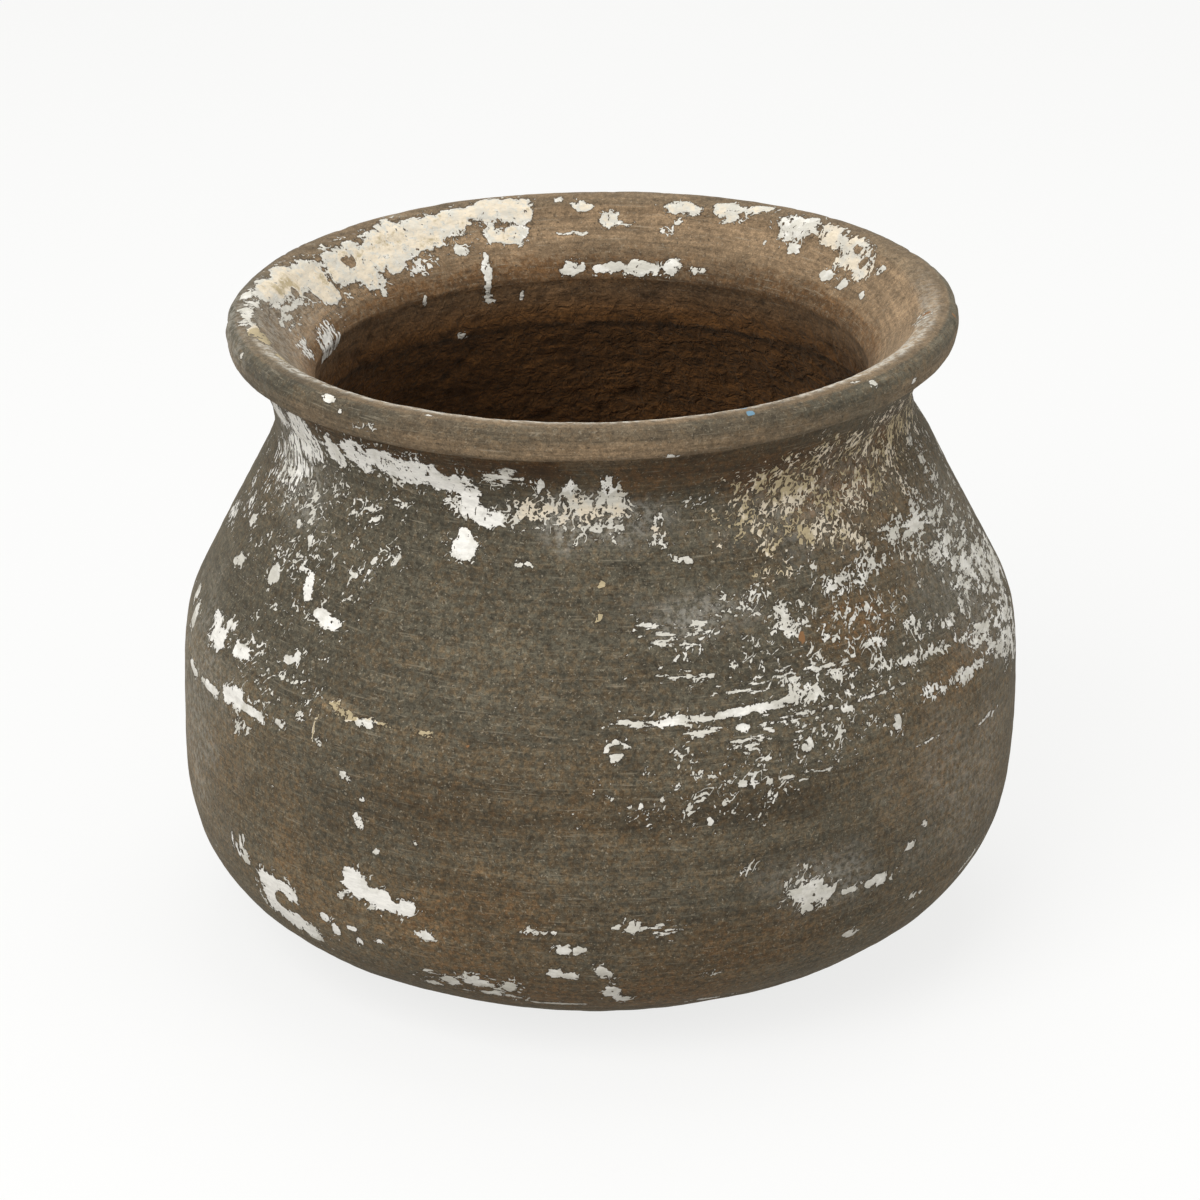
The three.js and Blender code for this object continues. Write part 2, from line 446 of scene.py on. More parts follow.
def lean(settings, points):
    """Bends the upright pot as the hand-made one leans: sideways by height, and the rim down to the left."""
    moved = points.copy()
    share = smooth_step(*TILTED_BAND, points[..., 2])
    moved[..., 0] += np.interp(points[..., 2], LEAN_HEIGHTS, LEAN_SHIFTS)
    moved[..., 2] += share * points[..., 0] * math.tan(settings.tilt)
    return moved


# Limewash marks, placed by azimuth from the front and by height on the wall or radius on the flare

# How far a kind of lime is scattered, drawn out round the pot, slanted or, below 0, brushed, and stained
Kind = namedtuple("Kind", "spread streak slant cream")
KINDS = {
    "flake": Kind(1.2, 0.0, 0.0, 0.0),
    "clean": Kind(1.5, 0.3, 0.0, -0.5),
    "sheet": Kind(1.2, 0.25, 0.0, 0.85),
    "crackle": Kind(2.2, 0.2, -0.25, 0.7),
    "crumbs": Kind(2.0, 0.1, 0.0, 0.05),
    "grains": Kind(2.0, 0.0, 0.3, -0.05),
    "dabs": Kind(2.4, 0.65, 0.0, -0.05),
    "streaks": Kind(2.4, 0.85, 0.0, 0.1),
    "dashes": Kind(2.0, 0.0, 0.9, 1.12),
    "brushed": Kind(1.8, 0.0, -0.85, -0.4),
    "line": Kind(1.2, 0.5, 0.0, -0.1),
    "tan": Kind(1.6, 0.5, 0.0, 2.0),
    "thin": Kind(1.5, 0.35, 0.0, 0.7),
    "bare": Kind(0.0, 0.0, 0.0, 0.0),
}

SOLID_SPREAD = 1.5
HALO_LEVEL = 0.12
RAGGED = 0.8
BARE_LEVEL = -0.5
CLEAN_LEVEL = -0.85

Mark = namedtuple("Mark", "kind azimuth place half_length half_height level lean", defaults=(0,))

WALL_MARKS = (
    # Neck, left to right
    Mark("brushed", -69, 171, 9, 6, 1.0, 26),
    Mark("brushed", -59, 170, 9, 8, 1.05, 13),
    Mark("brushed", -64, 159, 11, 9, 0.72),
    Mark("brushed", -72, 152, 10, 12, 0.34),
    Mark("crumbs", -52, 158, 34, 13, -0.02),
    Mark("clean", -49, 171.5, 4.5, 4.5, 0.85, -1),
    Mark("clean", -43, 172.5, 6, 5, 0.8, 10),
    Mark("clean", -37, 172.3, 6, 4.5, 0.82, 9),
    Mark("clean", -32, 172, 6, 4.6, 0.82, 6),
    Mark("clean", -27.5, 171, 5, 4.2, 0.8, 2),
    Mark("clean", -23.5, 170.3, 4, 4, 0.8, -5),
    Mark("clean", -20.5, 167, 3.4, 4.6, 0.82, -52),
    Mark("clean", -18.5, 161.3, 6.5, 2.6, 0.9, 2),
    Mark("crumbs", -23.6, 163.6, 3, 3, 0.4),
    Mark("streaks", -13.7, 174, 6, 3.5, 0.85, -2),
    Mark("brushed", -8.5, 170.5, 3.2, 5, 0.85),
    Mark("brushed", -3.6, 169.5, 3, 5, 0.75),
    Mark("brushed", 3.2, 170.5, 3.4, 6, 0.85),
    Mark("crackle", -9.5, 164, 8, 5.5, 0.72),
    Mark("crackle", -2.5, 163.5, 10, 5.5, 0.75),
    Mark("crackle", 5, 164, 7, 5.5, 0.62),
    Mark("crumbs", 1, 159, 24, 5, 0.3),
    Mark("tan", 0.5, 145, 1.4, 1.5, 0.95),
    Mark("tan", 0, 136, 1.5, 1.4, 0.95),
    Mark("clean", -21.7, 151.6, 4.2, 3.4, 1.0, 1),
    Mark("clean", -22.6, 155.5, 2.2, 2.4, 0.95),
    Mark("flake", -12.5, 149.3, 2.2, 0.9, 0.95),
    # Left shoulder
    Mark("crumbs", -33.5, 160.4, 5, 2, 0.4),
    Mark("crumbs", -56, 150, 22, 10, 0.16),
    Mark("crumbs", -35, 145.6, 5.5, 3.4, 0.62, 10),
    Mark("crumbs", -41.4, 139.1, 3, 4.5, 0.6, 89),
    Mark("flake", -58.9, 130, 2.6, 3.4, 1.0, 19),
    Mark("clean", -49.6, 131, 2.6, 3.8, 1.0, 16),
    Mark("clean", -45.5, 126.3, 3.4, 2.0, 1.0, 1),
    Mark("clean", -42.5, 124.8, 3.8, 1.6, 1.0, 8),
    Mark("flake", -52, 134.6, 2.4, 1.1, 0.95),
    Mark("flake", -71, 125.1, 4.0, 1.6, 0.9, 19),
    Mark("flake", -53.4, 142.8, 2.2, 1.4, 1.0),
    Mark("flake", -58.1, 144.8, 2.3, 1.3, 0.9),
    Mark("flake", -73.4, 135.8, 2.3, 1.4, 0.9),
    Mark("brushed", -87, 129, 5, 8, 0.7, 80),
    Mark("brushed", -80, 140, 12, 14, 0.2, 146),
    Mark("flake", -83, 105.5, 2.6, 3.4, 0.95),
    Mark("flake", -79, 103.5, 4.0, 3.6, 0.95),
    Mark("clean", -66.6, 105.6, 6, 2.8, 1.0, 4),
    Mark("clean", -69.5, 109.5, 3.6, 1.8, 0.95),
    Mark("flake", -64.5, 110.8, 2.7, 1.8, 1.0),
    Mark("clean", -59.6, 107, 5, 1.7, 1.0, -4),
    Mark("crumbs", -50.5, 113, 4.5, 3, 0.5),
    Mark("flake", -49.1, 111.8, 2.3, 1.1, 0.9),
    Mark("flake", -47.2, 113.7, 1.5, 1.7, 0.9),
    Mark("crumbs", -50, 107.6, 9, 1.8, 0.5),
    Mark("line", -74, 90.5, 5, 1.5, 0.95),
    Mark("line", -66.3, 91.6, 8, 1.5, 1.0, 4),
    Mark("clean", -58.6, 95, 6.5, 3.0, 1.0, 8),
    Mark("line", -53.5, 94.4, 7.5, 1.4, 1.0, -2),
    Mark("flake", -47.3, 95.4, 1.9, 1.2, 0.95),
    Mark("crumbs", -56, 87, 4.5, 4.5, 0.5),
    # Tan rub at the waist, and the chain below it
    Mark("tan", -37, 105.2, 9, 1.6, 0.55, -6),
    Mark("flake", -32.4, 104.1, 3.6, 1.4, 0.8),
    Mark("tan", -27, 104.5, 14, 1.1, 0.54),
    Mark("tan", -23.5, 104.8, 4, 1.3, 0.6),
    Mark("tan", -40.8, 98.6, 5.8, 0.6, 0.95, 84),
    Mark("crumbs", -39.5, 95.5, 3, 3, 0.45),
    Mark("flake", -35, 87.2, 2.7, 1.3, 0.9, -25),
    Mark("flake", -32.7, 75.7, 1.5, 2.2, 0.95, 34),
    Mark("flake", -32.2, 82, 1.1, 0.9, 0.8),
    Mark("flake", -30, 67.4, 1.4, 1.1, 0.9),
    Mark("flake", -23.9, 72.9, 1.2, 1.0, 0.85),
    # Lower left
    Mark("clean", -32.4, 55, 3.8, 5.4, 1.0, 34),
    Mark("clean", -29.6, 52, 4.4, 3.2, 1.0, -22),
    Mark("clean", -25.4, 51.6, 2.6, 3.6, 1.0, -39),
    Mark("flake", -35.7, 50.3, 1.4, 1.7, 0.95),
    Mark("flake", -34.6, 58.8, 1.2, 0.8, 0.9),
    Mark("clean", -49.5, 44, 6.8, 3.2, 1.0, 5),
    Mark("clean", -46, 43, 3.5, 2.4, 1.0, -28),
    Mark("clean", -50.4, 38.5, 3.5, 4.2, 0.95),
    Mark("clean", -46.5, 33, 10.5, 3.6, 1.0, -15),
    Mark("flake", -43.5, 30, 6.3, 1.8, 0.8, -9),
    Mark("clean", -39.3, 39.9, 1.9, 1.4, 0.95),
    Mark("clean", -37.6, 36.8, 1.7, 2.8, 1.0, -3),
    Mark("clean", -34.5, 38.9, 1.8, 1.3, 0.95),
    Mark("clean", -33.7, 34.9, 1.4, 1.2, 0.95),
    Mark("clean", -30.4, 37.3, 1.2, 1.1, 0.95),
    Mark("clean", -23.1, 43.4, 2.3, 1.6, 1.0),
    Mark("bare", -47.2, 38.6, 2.8, 2.6, 0.0),
    Mark("brushed", -57, 48, 6, 6, 0.62),
    Mark("flake", -55.2, 46.5, 2.1, 3.6, 0.95, 40),
    # Bottom, front
    Mark("streaks", -18.5, 27.5, 13, 4.5, 0.5),
    Mark("flake", -23.4, 24.2, 3.2, 1.0, 0.95),
    Mark("flake", -20.5, 27.6, 2.6, 1.7, 0.95),
    Mark("flake", -17.4, 30.7, 2.8, 1.2, 0.95),
    Mark("flake", -16, 28.1, 4.8, 1.2, 0.95),
    Mark("flake", -14.5, 24, 3.6, 1.0, 0.95),
    Mark("flake", -11.5, 28, 2.5, 2.4, 1.0),
    Mark("flake", -11.6, 23.2, 4, 0.8, 0.9),
    Mark("line", -5.2, 20.6, 8.5, 0.7, 0.8),
    Mark("flake", -4.6, 44.2, 2.8, 1.4, 1.0),
    Mark("flake", -2.6, 44.4, 2.2, 1.5, 1.0),
    Mark("flake", -5.5, 36, 2.4, 1.7, 1.0),
    Mark("flake", -3.4, 35.2, 2.6, 1.3, 1.0),
    Mark("flake", 0.5, 37.3, 2.2, 1.8, 1.0, -15),
    Mark("flake", 1.9, 35.6, 1.7, 1.7, 1.0, -30),
    Mark("flake", 2.2, 27.8, 2.4, 2.6, 1.0, -30),
    Mark("flake", 3.8, 25.2, 2.6, 1.6, 1.0),
    Mark("crumbs", -8.1, 50, 5, 2, 0.4),
    Mark("flake", 2.3, 52, 1.8, 0.9, 0.95),
    Mark("flake", 4.4, 52.0, 1.9, 1.7, 0.95),
    Mark("streaks", 8, 50, 8, 3, 0.3),
    Mark("crumbs", 16.4, 32.8, 4, 2, 0.5, 8),
    Mark("line", 17.8, 17.5, 5, 0.8, 0.6),
    # Right, below the waist
    Mark("flake", 1.8, 104.3, 3.3, 2.0, 0.95),
    Mark("bare", 2.0, 104.4, 1.9, 1.0, 0.0),
    Mark("streaks", 22, 95, 16, 8, 0.0),
    Mark("grains", 22, 100.5, 8, 4, 0.26),
    Mark("flake", 18.2, 92.7, 1.7, 1.1, 0.9),
    Mark("flake", 27.7, 100.2, 2.0, 2.4, 0.95, 18),
    Mark("grains", 32, 103.5, 5, 1.6, 0.62, -2),
    Mark("streaks", 28.5, 92.5, 9, 2.2, 0.3, 4),
    Mark("flake", 4.2, 88.8, 1.9, 1.7, 0.95),
    Mark("bare", 4.4, 89.2, 0.9, 0.8, 0.0),
    Mark("flake", 14, 83, 1.3, 1.1, 0.75),
    Mark("flake", 19.8, 82, 1.0, 1.6, 0.8),
    Mark("flake", 27.4, 56.2, 4.6, 3.6, 0.9, 3),
    Mark("flake", 30.6, 54.3, 3.3, 3.2, 0.9),
    Mark("flake", 28.2, 51.6, 2.6, 2.2, 0.9),
    Mark("crumbs", 28.4, 58, 7, 6.5, 0.5),
    Mark("flake", 34.4, 52.4, 3.4, 1.0, 1.0, -3),
    Mark("flake", 39.2, 52.4, 5.2, 1.7, 1.0),
    Mark("flake", 45.2, 58.8, 2.4, 1.0, 0.85, 18),
    Mark("flake", 47.9, 63.7, 1.3, 1.6, 0.85),
    Mark("crumbs", 19.3, 67.3, 4, 2.4, 0.55, 12),
    Mark("flake", 63.5, 37.5, 6.1, 1.0, 0.8, 12),
    Mark("flake", 36.4, 36.3, 3.7, 1.1, 0.9),
    Mark("crumbs", 48, 40.3, 6, 1.6, 0.5, -14),
    # Right shoulder
    Mark("dashes", 50, 148, 52, 26, 0.12),
    Mark("dashes", 36, 163, 20, 12, 0.38),
    Mark("dashes", 30, 158, 12, 8, 0.42),
    Mark("dashes", 46, 159, 18, 12, 0.33),
    Mark("dashes", 60, 165, 22, 12, 0.3),
    Mark("dashes", 76, 158, 18, 14, 0.34),
    Mark("dabs", 64, 140.5, 20, 3.4, 0.66, -5),
    Mark("dashes", 41.5, 150.5, 13, 4, 0.45, -9),
    Mark("dabs", 76, 122, 26, 24, 0.36),
    Mark("dabs", 77, 121, 20, 6, 0.68, -8),
    Mark("dabs", 68, 131, 14, 3.5, 0.5, -6),
    Mark("grains", 59, 116.5, 16, 2.5, 0.52, -5),
    Mark("dashes", 29, 152, 5, 4, 0.55),
    Mark("grains", 44.5, 138.5, 4, 4, 0.56),
    Mark("flake", 14, 149.5, 2.8, 1.3, 0.85, -16),
    Mark("flake", 36, 141.5, 2.2, 1.1, 0.8, -46),
    Mark("dashes", 27, 143.5, 8, 4.5, 0.3),
    Mark("grains", 39, 136.5, 9, 4.5, 0.4),
    Mark("grains", 21, 138.5, 7, 4, 0.4),
    Mark("grains", 28.5, 131, 4, 4.5, 0.6),
    Mark("grains", 28, 128.5, 5.5, 2.2, 0.62),
    Mark("streaks", 11, 131.5, 14, 5, 0.32),
    Mark("grains", 17.5, 165, 7, 2.2, 0.46),
    Mark("grains", 11.5, 161.5, 4, 2.0, 0.46),
    Mark("grains", 11, 154.5, 5, 1.4, 0.4),
    Mark("grains", 51, 120.5, 7, 3.5, 0.52),
    Mark("grains", 42, 121.5, 7, 3, 0.56, -11),
    # Rising bands of dabs and grains at the right edge of the waist
    Mark("dabs", 79, 103.5, 13, 4.5, 0.78, -8),
    Mark("dabs", 66, 108, 14, 3.2, 0.74, -8),
    Mark("grains", 54, 111, 12, 2.6, 0.78, -7),
    Mark("grains", 45, 113, 9, 2.2, 0.74, -6),
    Mark("grains", 35, 115, 11, 1.9, 0.66, -4),
    Mark("grains", 26, 116.5, 12, 1.8, 0.6, -3),
    Mark("dabs", 71, 100, 12, 3.2, 0.78, -6),
    Mark("grains", 60, 101, 12, 2.8, 0.75, -8),
    Mark("grains", 51, 102.5, 7, 2.6, 0.7, -4),
    Mark("dabs", 78, 95, 16, 6, 0.68, -8),
    Mark("dabs", 86, 112, 14, 6, 0.72, -8),
    # Crumbs scattered over the shoulder and the waist
    Mark("crumbs", 34, 122, 46, 18, 0.12),
    Mark("crumbs", 26, 101, 36, 11, 0.04),
    Mark("crumbs", 12, 90, 30, 10, -0.05),
    Mark("crumbs", -55, 140, 40, 22, 0.0),
    Mark("crumbs", -52, 108, 26, 10, 0.1),
    # Waist lines on the right
    Mark("streaks", 24, 117, 12, 1.8, 0.4, 2),
    Mark("streaks", 33, 118, 10, 1.6, 0.36, -4),
    Mark("line", 4.5, 110.9, 8, 0.9, 0.85),
    Mark("line", 11, 111.0, 10, 1.1, 1.0),
    Mark("line", 18.5, 111.4, 8, 1.1, 1.0, 2),
    Mark("line", 24.3, 112.2, 6, 1.0, 0.95, 6),
    Mark("flake", 26.6, 113, 1.2, 2.8, 0.9),
    Mark("grains", 30, 113, 5, 2.4, 0.66),
    Mark("streaks", 12.5, 107.6, 10, 0.9, 0.6),
    Mark("flake", 19, 107.5, 3, 1.1, 0.85),
    Mark("line", 28, 108, 12, 0.6, 0.6),
    Mark("line", 41, 107.8, 12, 0.6, 0.62),
    Mark("streaks", 12.9, 122, 10, 1.8, 0.42),
    Mark("streaks", 22, 106, 12, 4, 0.25),
    Mark("flake", 42.3, 98.7, 1.8, 2.3, 0.85),
    Mark("line", 47.1, 89.5, 6, 0.7, 0.75, -4),
    Mark("line", 64.1, 84, 7, 0.8, 0.75),
    # Lip, outside
    Mark("flake", -43.3, 191.4, 3.2, 0.9, 0.8),
    Mark("flake", -40.2, 189.2, 1.2, 1.0, 0.9),
    Mark("flake", -69.7, 189.9, 1.1, 1.0, 0.9),
    Mark("flake", 47.8, 191.6, 1.3, 1.0, 0.9),
    Mark("flake", 57.6, 186.4, 1.3, 1.0, 0.85),
    Mark("crumbs", -36, 187, 5, 2, 0.4),
    Mark("flake", 12, 182.9, 2.2, 0.9, 0.75),
    # Back and far sides
    Mark("dashes", 100, 140, 40, 30, 0.0),
    Mark("crumbs", 120, 140, 60, 26, 0.0),
    Mark("crumbs", 170, 155, 60, 14, 0.02),
    Mark("crumbs", -130, 150, 66, 20, 0.02),
    Mark("crumbs", 140, 102, 76, 12, 0.08),
    Mark("crumbs", -150, 106, 60, 11, 0.05),
    Mark("crumbs", 150, 42, 64, 22, -0.06),
    Mark("crumbs", -120, 45, 54, 20, -0.04),
    Mark("brushed", 95, 163, 12, 7, 0.5),
    Mark("dashes", 105, 150, 16, 10, 0.42),
    Mark("flake", 116, 170, 13, 5, 0.95, 3),
    Mark("flake", 130, 168, 12, 5.5, 0.95, -4),
    Mark("crackle", 144, 166, 18, 7, 0.85),
    Mark("streaks", 165, 168, 20, 6, 0.75),
    Mark("flake", -172, 171, 11, 4.5, 0.95, -4),
    Mark("clean", -156, 170.5, 9, 3.6, 0.85, 6),
    Mark("brushed", -147, 166, 9, 7, 0.55),
    Mark("flake", -138, 171, 6, 3, 0.85, -8),
    Mark("grains", -130, 164, 18, 8, 0.45),
    Mark("brushed", -116, 168, 8, 6, 0.66, 10),
    Mark("clean", -107, 171, 7, 3.6, 0.85, 12),
    Mark("crumbs", 125, 140, 18, 14, 0.32),
    Mark("flake", 140, 133, 3.4, 5, 0.95, 20),
    Mark("flake", 152, 142, 2.4, 3.4, 0.95),
    Mark("crumbs", 172, 128, 20, 10, 0.3),
    Mark("streaks", -155, 132, 18, 6, 0.4),
    Mark("flake", -133, 126, 5, 2.2, 0.95, -14),
    Mark("crumbs", -112, 138, 16, 12, 0.3),
    Mark("line", 116, 110.5, 26, 1.2, 0.85, 1),
    Mark("streaks", 128, 108, 20, 3.5, 0.5),
    Mark("line", 158, 109, 24, 1.1, 0.9, -1),
    Mark("streaks", -165, 112, 20, 3, 0.45),
    Mark("flake", -140, 104, 6, 2.8, 0.95, 8),
    Mark("line", -118, 94, 22, 1.3, 0.95, 1),
    Mark("brushed", 100, 92, 10, 8, 0.45, 40),
    Mark("crumbs", 138, 86, 18, 8, 0.3),
    Mark("flake", 170, 80, 2.6, 3.8, 0.95, 20),
    Mark("flake", -148, 72, 2.0, 1.6, 0.9),
    Mark("flake", 112, 52, 5, 2.6, 0.95, 15),
    Mark("flake", 122, 44, 3, 4.4, 0.95, -20),
    Mark("crumbs", 150, 50, 14, 8, 0.36),
    Mark("flake", 164, 34, 5.5, 2.2, 0.95, -10),
    Mark("flake", -172, 46, 3, 2, 0.95),
    Mark("flake", -126, 48, 4.4, 3.6, 0.95, -30),
    Mark("flake", -118, 40, 6, 2.4, 0.95, -35),
    Mark("flake", -100, 56, 2.4, 3.4, 0.95),
    Mark("streaks", -146, 28, 14, 4, 0.5),
    Mark("streaks", 135, 24, 12, 4, 0.45),
)

FLARE_MARKS = (
    # Big cream sheet on the left
    Mark("sheet", -102, 97, 8, 4.4, 1.1, -14),
    Mark("sheet", -108, 96, 8, 5, 1.1, -8),
    Mark("sheet", -115.7, 94, 8, 6, 1.0),
    Mark("sheet", -116, 89, 5.5, 3.6, 0.95),
    Mark("sheet", -123, 92.5, 7, 4.6, 1.0),
    Mark("sheet", -129.5, 91.5, 8, 5.2, 1.0),
    Mark("sheet", -138.2, 93.6, 11, 5.6, 1.0),
    Mark("sheet", -145.7, 93.6, 8, 4.4, 1.0),
    Mark("sheet", -153.1, 95, 7, 3.4, 1.0),
    Mark("sheet", -160, 96.4, 8, 4.0, 1.0),
    Mark("sheet", -165.3, 96.4, 5.5, 4.6, 1.0, 10),
    Mark("sheet", -162.3, 90.2, 6.5, 1.9, 0.95, 6),
    Mark("bare", -127, 92.6, 2.7, 1.2, 0.0, 10),
    Mark("bare", -107, 92.8, 1.8, 1.2, 0.0),
    # Left side
    Mark("streaks", -93, 99, 13, 5, 0.85),
    Mark("streaks", -80, 100, 11, 3.5, 0.75),
    Mark("streaks", -98, 91, 12, 4, 0.6),
    Mark("tan", -75, 97, 9, 3, 0.85, 10),
    Mark("tan", -64, 97, 9, 1.2, 0.7),
    Mark("brushed", -92, 84.5, 8, 3, 0.6),
    Mark("brushed", -106, 82.5, 8, 3, 0.8),
    # Back
    Mark("flake", -130.5, 83.8, 1.8, 0.9, 0.95),
    Mark("flake", -152.4, 87.8, 3.2, 1.2, 0.9),
    Mark("crumbs", -143.3, 86, 4, 2, 0.4),
    Mark("flake", -157, 83.8, 1.5, 2.8, 0.85),
    Mark("thin", -177.7, 96.2, 3.4, 1.5, 0.95),
    Mark("flake", -173.9, 98, 1.2, 1.0, 0.9),
    Mark("thin", 176.8, 93, 2.6, 1.6, 0.95),
    Mark("streaks", 172.5, 92, 5, 1.0, 0.6),
    Mark("streaks", -176, 89.5, 7, 0.8, 0.55),
    Mark("thin", 162.7, 96, 7, 1.8, 0.95),
    Mark("thin", 154.5, 96.6, 5, 2.2, 0.95),
    Mark("thin", 148.2, 98.4, 5, 1.7, 0.95, -10),
    Mark("flake", 139.5, 97, 7, 3.6, 0.95, -10),
    Mark("crackle", 131, 96.5, 7, 3.6, 1.05),
    Mark("crackle", 123, 94.5, 9, 5.2, 1.05),
    Mark("crackle", 117.5, 92, 5, 4.2, 0.85),
    Mark("bare", 122.4, 95.6, 1.6, 1.2, 0.0),
    Mark("bare", 119, 93, 1.4, 1.2, 0.0),
    Mark("flake", 112.7, 94.2, 2, 1.4, 0.8),
    Mark("flake", 125.4, 87.5, 3, 1.2, 0.95),
    Mark("flake", 120.2, 87.3, 1.6, 1.3, 0.9),
    Mark("flake", 112.5, 87.2, 1.5, 1.0, 0.85),
    Mark("flake", 137.2, 90.7, 2.6, 1.3, 0.95),
    Mark("flake", 144, 90.6, 0.9, 0.8, 0.85),
    Mark("crumbs", 165.1, 90.3, 3.4, 1.5, 0.5),
    Mark("flake", 163, 92.6, 1.2, 0.9, 0.8),
    Mark("flake", 44.7, 103, 2.6, 0.8, 0.8),
    Mark("flake", -25, 103.6, 1.2, 0.8, 0.8),
    # Unseen front of the flare
    Mark("streaks", 15, 93, 14, 3, 0.35),
    Mark("flake", 32, 90, 5, 2.2, 0.9),
    Mark("crumbs", -30, 92, 12, 4, 0.36),
    Mark("crumbs", 80, 96, 8, 4, 0.3),
)

THROAT_MARKS = (
    # On the edge of the mouth, at the back, and the drip on the left of it
    Mark("flake", -175.6, 174.0, 4.2, 1.9, 0.95),
    Mark("flake", 179.2, 173.6, 2.0, 1.4, 0.9),
    Mark("flake", 175.2, 173.8, 4.2, 1.8, 0.95),
    Mark("flake", 169.6, 174.2, 5.6, 2.0, 0.95),
    Mark("flake", 162.6, 174.9, 2.2, 2.3, 0.95),
    Mark("flake", 156.4, 174.8, 2.3, 1.3, 0.9),
    Mark("flake", -156.3, 172, 1.1, 4.2, 0.9),
    Mark("flake", -140.9, 170.5, 0.8, 1.8, 0.85),
    Mark("flake", -164.7, 166.4, 1.1, 1.5, 0.85),
    Mark("flake", -157.6, 166.3, 2.0, 0.8, 0.8),
    Mark("flake", -150.5, 155.8, 2.2, 1.0, 0.7, 15),
    Mark("brushed", -106, 173.5, 8, 5, 0.72),
)

# Single spots: a smear of blue paint on the lip, and bare orange clay
Spot = namedtuple("Spot", "blue orange azimuth height half_length half_height")
SPOTS = (
    Spot(1.0, 0.0, 24.5, 192.0, 1.5, 0.3),
    Spot(0.0, 0.8, 81.5, 191.0, 1.4, 0.8),
    Spot(0.0, 0.8, -17.5, 103.0, 0.9, 0.6),
    Spot(0.0, 0.8, 30.5, 126.5, 1.3, 1.5),
    Spot(0.0, 0.7, 150.0, 120.0, 1.6, 0.8),
)

# Patches under a thin film of lime
Haze = namedtuple("Haze", "azimuth height half_length half_height share")
HAZES = (
    Haze(-88, 186, 46, 10, 0.15),
    Haze(14, 136, 18, 7, 0.14),
    Haze(0, 162, 24, 9, 0.18),
    Haze(72, 122, 34, 28, 0.1),
    Haze(42, 158, 34, 14, 0.08),
    # These two lighten the belly's left and right: a thin film of lime, with painted light on the pot's
    # sides.
    Haze(-76, 78, 40, 40, 0.12),
    Haze(58, 70, 40, 30, 0.08),
    Haze(30, 58, 22, 12, 0.1),
    Haze(-64, 160, 22, 16, 0.16),
    Haze(140, 165, 70, 12, 0.2),
    Haze(-150, 168, 50, 10, 0.2),
    Haze(160, 120, 50, 12, 0.1),
    Haze(-120, 60, 40, 20, 0.07),
)

# Patches where the clay's colour changes: how brown, how light and how dark. Most are the clay's own colour;
# the ones noted below are painted light and painted shade.
Tint = namedtuple("Tint", "azimuth height half_length half_height brown light dark")
TINTS = (
    Tint(-38, 45, 40, 22, 0.42, 0.24, 0.0),
    Tint(-52, 68, 30, 22, 0.25, 0.08, 0.0),
    Tint(0, 25, 60, 14, 0.7, 0.0, 0.12),
    Tint(-12, 52, 40, 18, 0.4, 0.0, 0.05),
    Tint(22, 44, 46, 14, 0.5, 0.0, 0.14),
    Tint(18, 86, 52, 8, 0.3, 0.0, 0.3),
    Tint(-20, 84, 34, 9, 0.2, 0.0, 0.22),
    Tint(60, 106, 36, 11, 0.65, 0.06, 0.0),
    Tint(38, 124, 22, 10, 0.7, 0.0, 0.05),
    # Under the lip all round, and at these heights in the throat too: browner, and darker with dirt and with
    # painted shade of the lip's overhang.
    Tint(16, 174, 60, 10, 1.2, 0.0, 0.42),
    Tint(50, 166, 44, 14, 0.8, 0.0, 0.22),
    Tint(-30, 177, 70, 7, 1.2, 0.0, 0.42),
    Tint(150, 172, 200, 8, 0.4, 0.0, 0.3),
    Tint(-70, 140, 30, 20, 0.15, 0.03, 0.0),
    Tint(-38, 105.5, 10, 2.7, 0.3, 1.0, 0.0),
    Tint(-26, 104.4, 15, 1.9, 0.4, 0.6, 0.0),
    Tint(-10, 130, 70, 22, 0.0, 0.1, 0.0),
    # Lighter on the belly's right and left and on the right of the shoulder: painted light on the pot's
    # sides. Their brown is the clay's own.
    Tint(60, 76, 54, 34, 0.2, 0.3, 0.0),
    Tint(-70, 78, 54, 36, 0.1, 0.34, 0.0),
    Tint(75, 130, 30, 26, 0.2, 0.32, 0.0),
    Tint(48, 146, 46, 26, 0.5, 0.16, 0.0),
    Tint(150, 50, 60, 24, 0.6, 0.0, 0.1),
    Tint(-150, 90, 60, 20, 0.3, 0.0, 0.15),
    Tint(120, 130, 50, 20, 0.3, 0.05, 0.0),
)


# How marks lie on a skin: edges are shares of a mark's own size, from where it starts to where it is full

LARGEST_TOOTH = 5.0
LARGE_TOOTH_SEED = 10
SMALL_TOOTH_SEED = 11
TOOTH_SHIFT = 50
MARK_REACH = 2.4
MARK_MARGIN = 2
BARE_EDGE = (1.15, 0.7)
SCATTERED_EDGE = (1.6, 0.2)
HALO_EDGE = (2.2, 1.0)
SOLID_EDGE = (1.3, 0.6)
SPOT_EDGE = (1.2, 0.6)
TINT_EDGE = (1.2, 0.2)
HAZE_EDGE = (1.3, 0.2)
SPOT_RAGGED = 0.5
BACKGROUND_STREAK = 0.5
LEAST_SHARE = 0.02
LOOK_POWER = 0.3
CLEAN_RIM_BAND = (178, 184)
THROAT_RADIUS = 92
THROAT_TOP = 178
FLARE_BOTTOM = 168


def arc(place, azimuth):
    """The way round the skin from an azimuth."""
    return np.radians(turn_apart(place.azimuth, azimuth)) * place.radius


def tooth(points, size):
    """Noise that frays the edge of a mark of a size."""
    large = noise(points, 2.2 * size + 1, LARGE_TOOTH_SEED)
    small = noise(points, 0.9 * size + 0.8, SMALL_TOOTH_SEED)
    return 0.55 * large + 0.4 * small


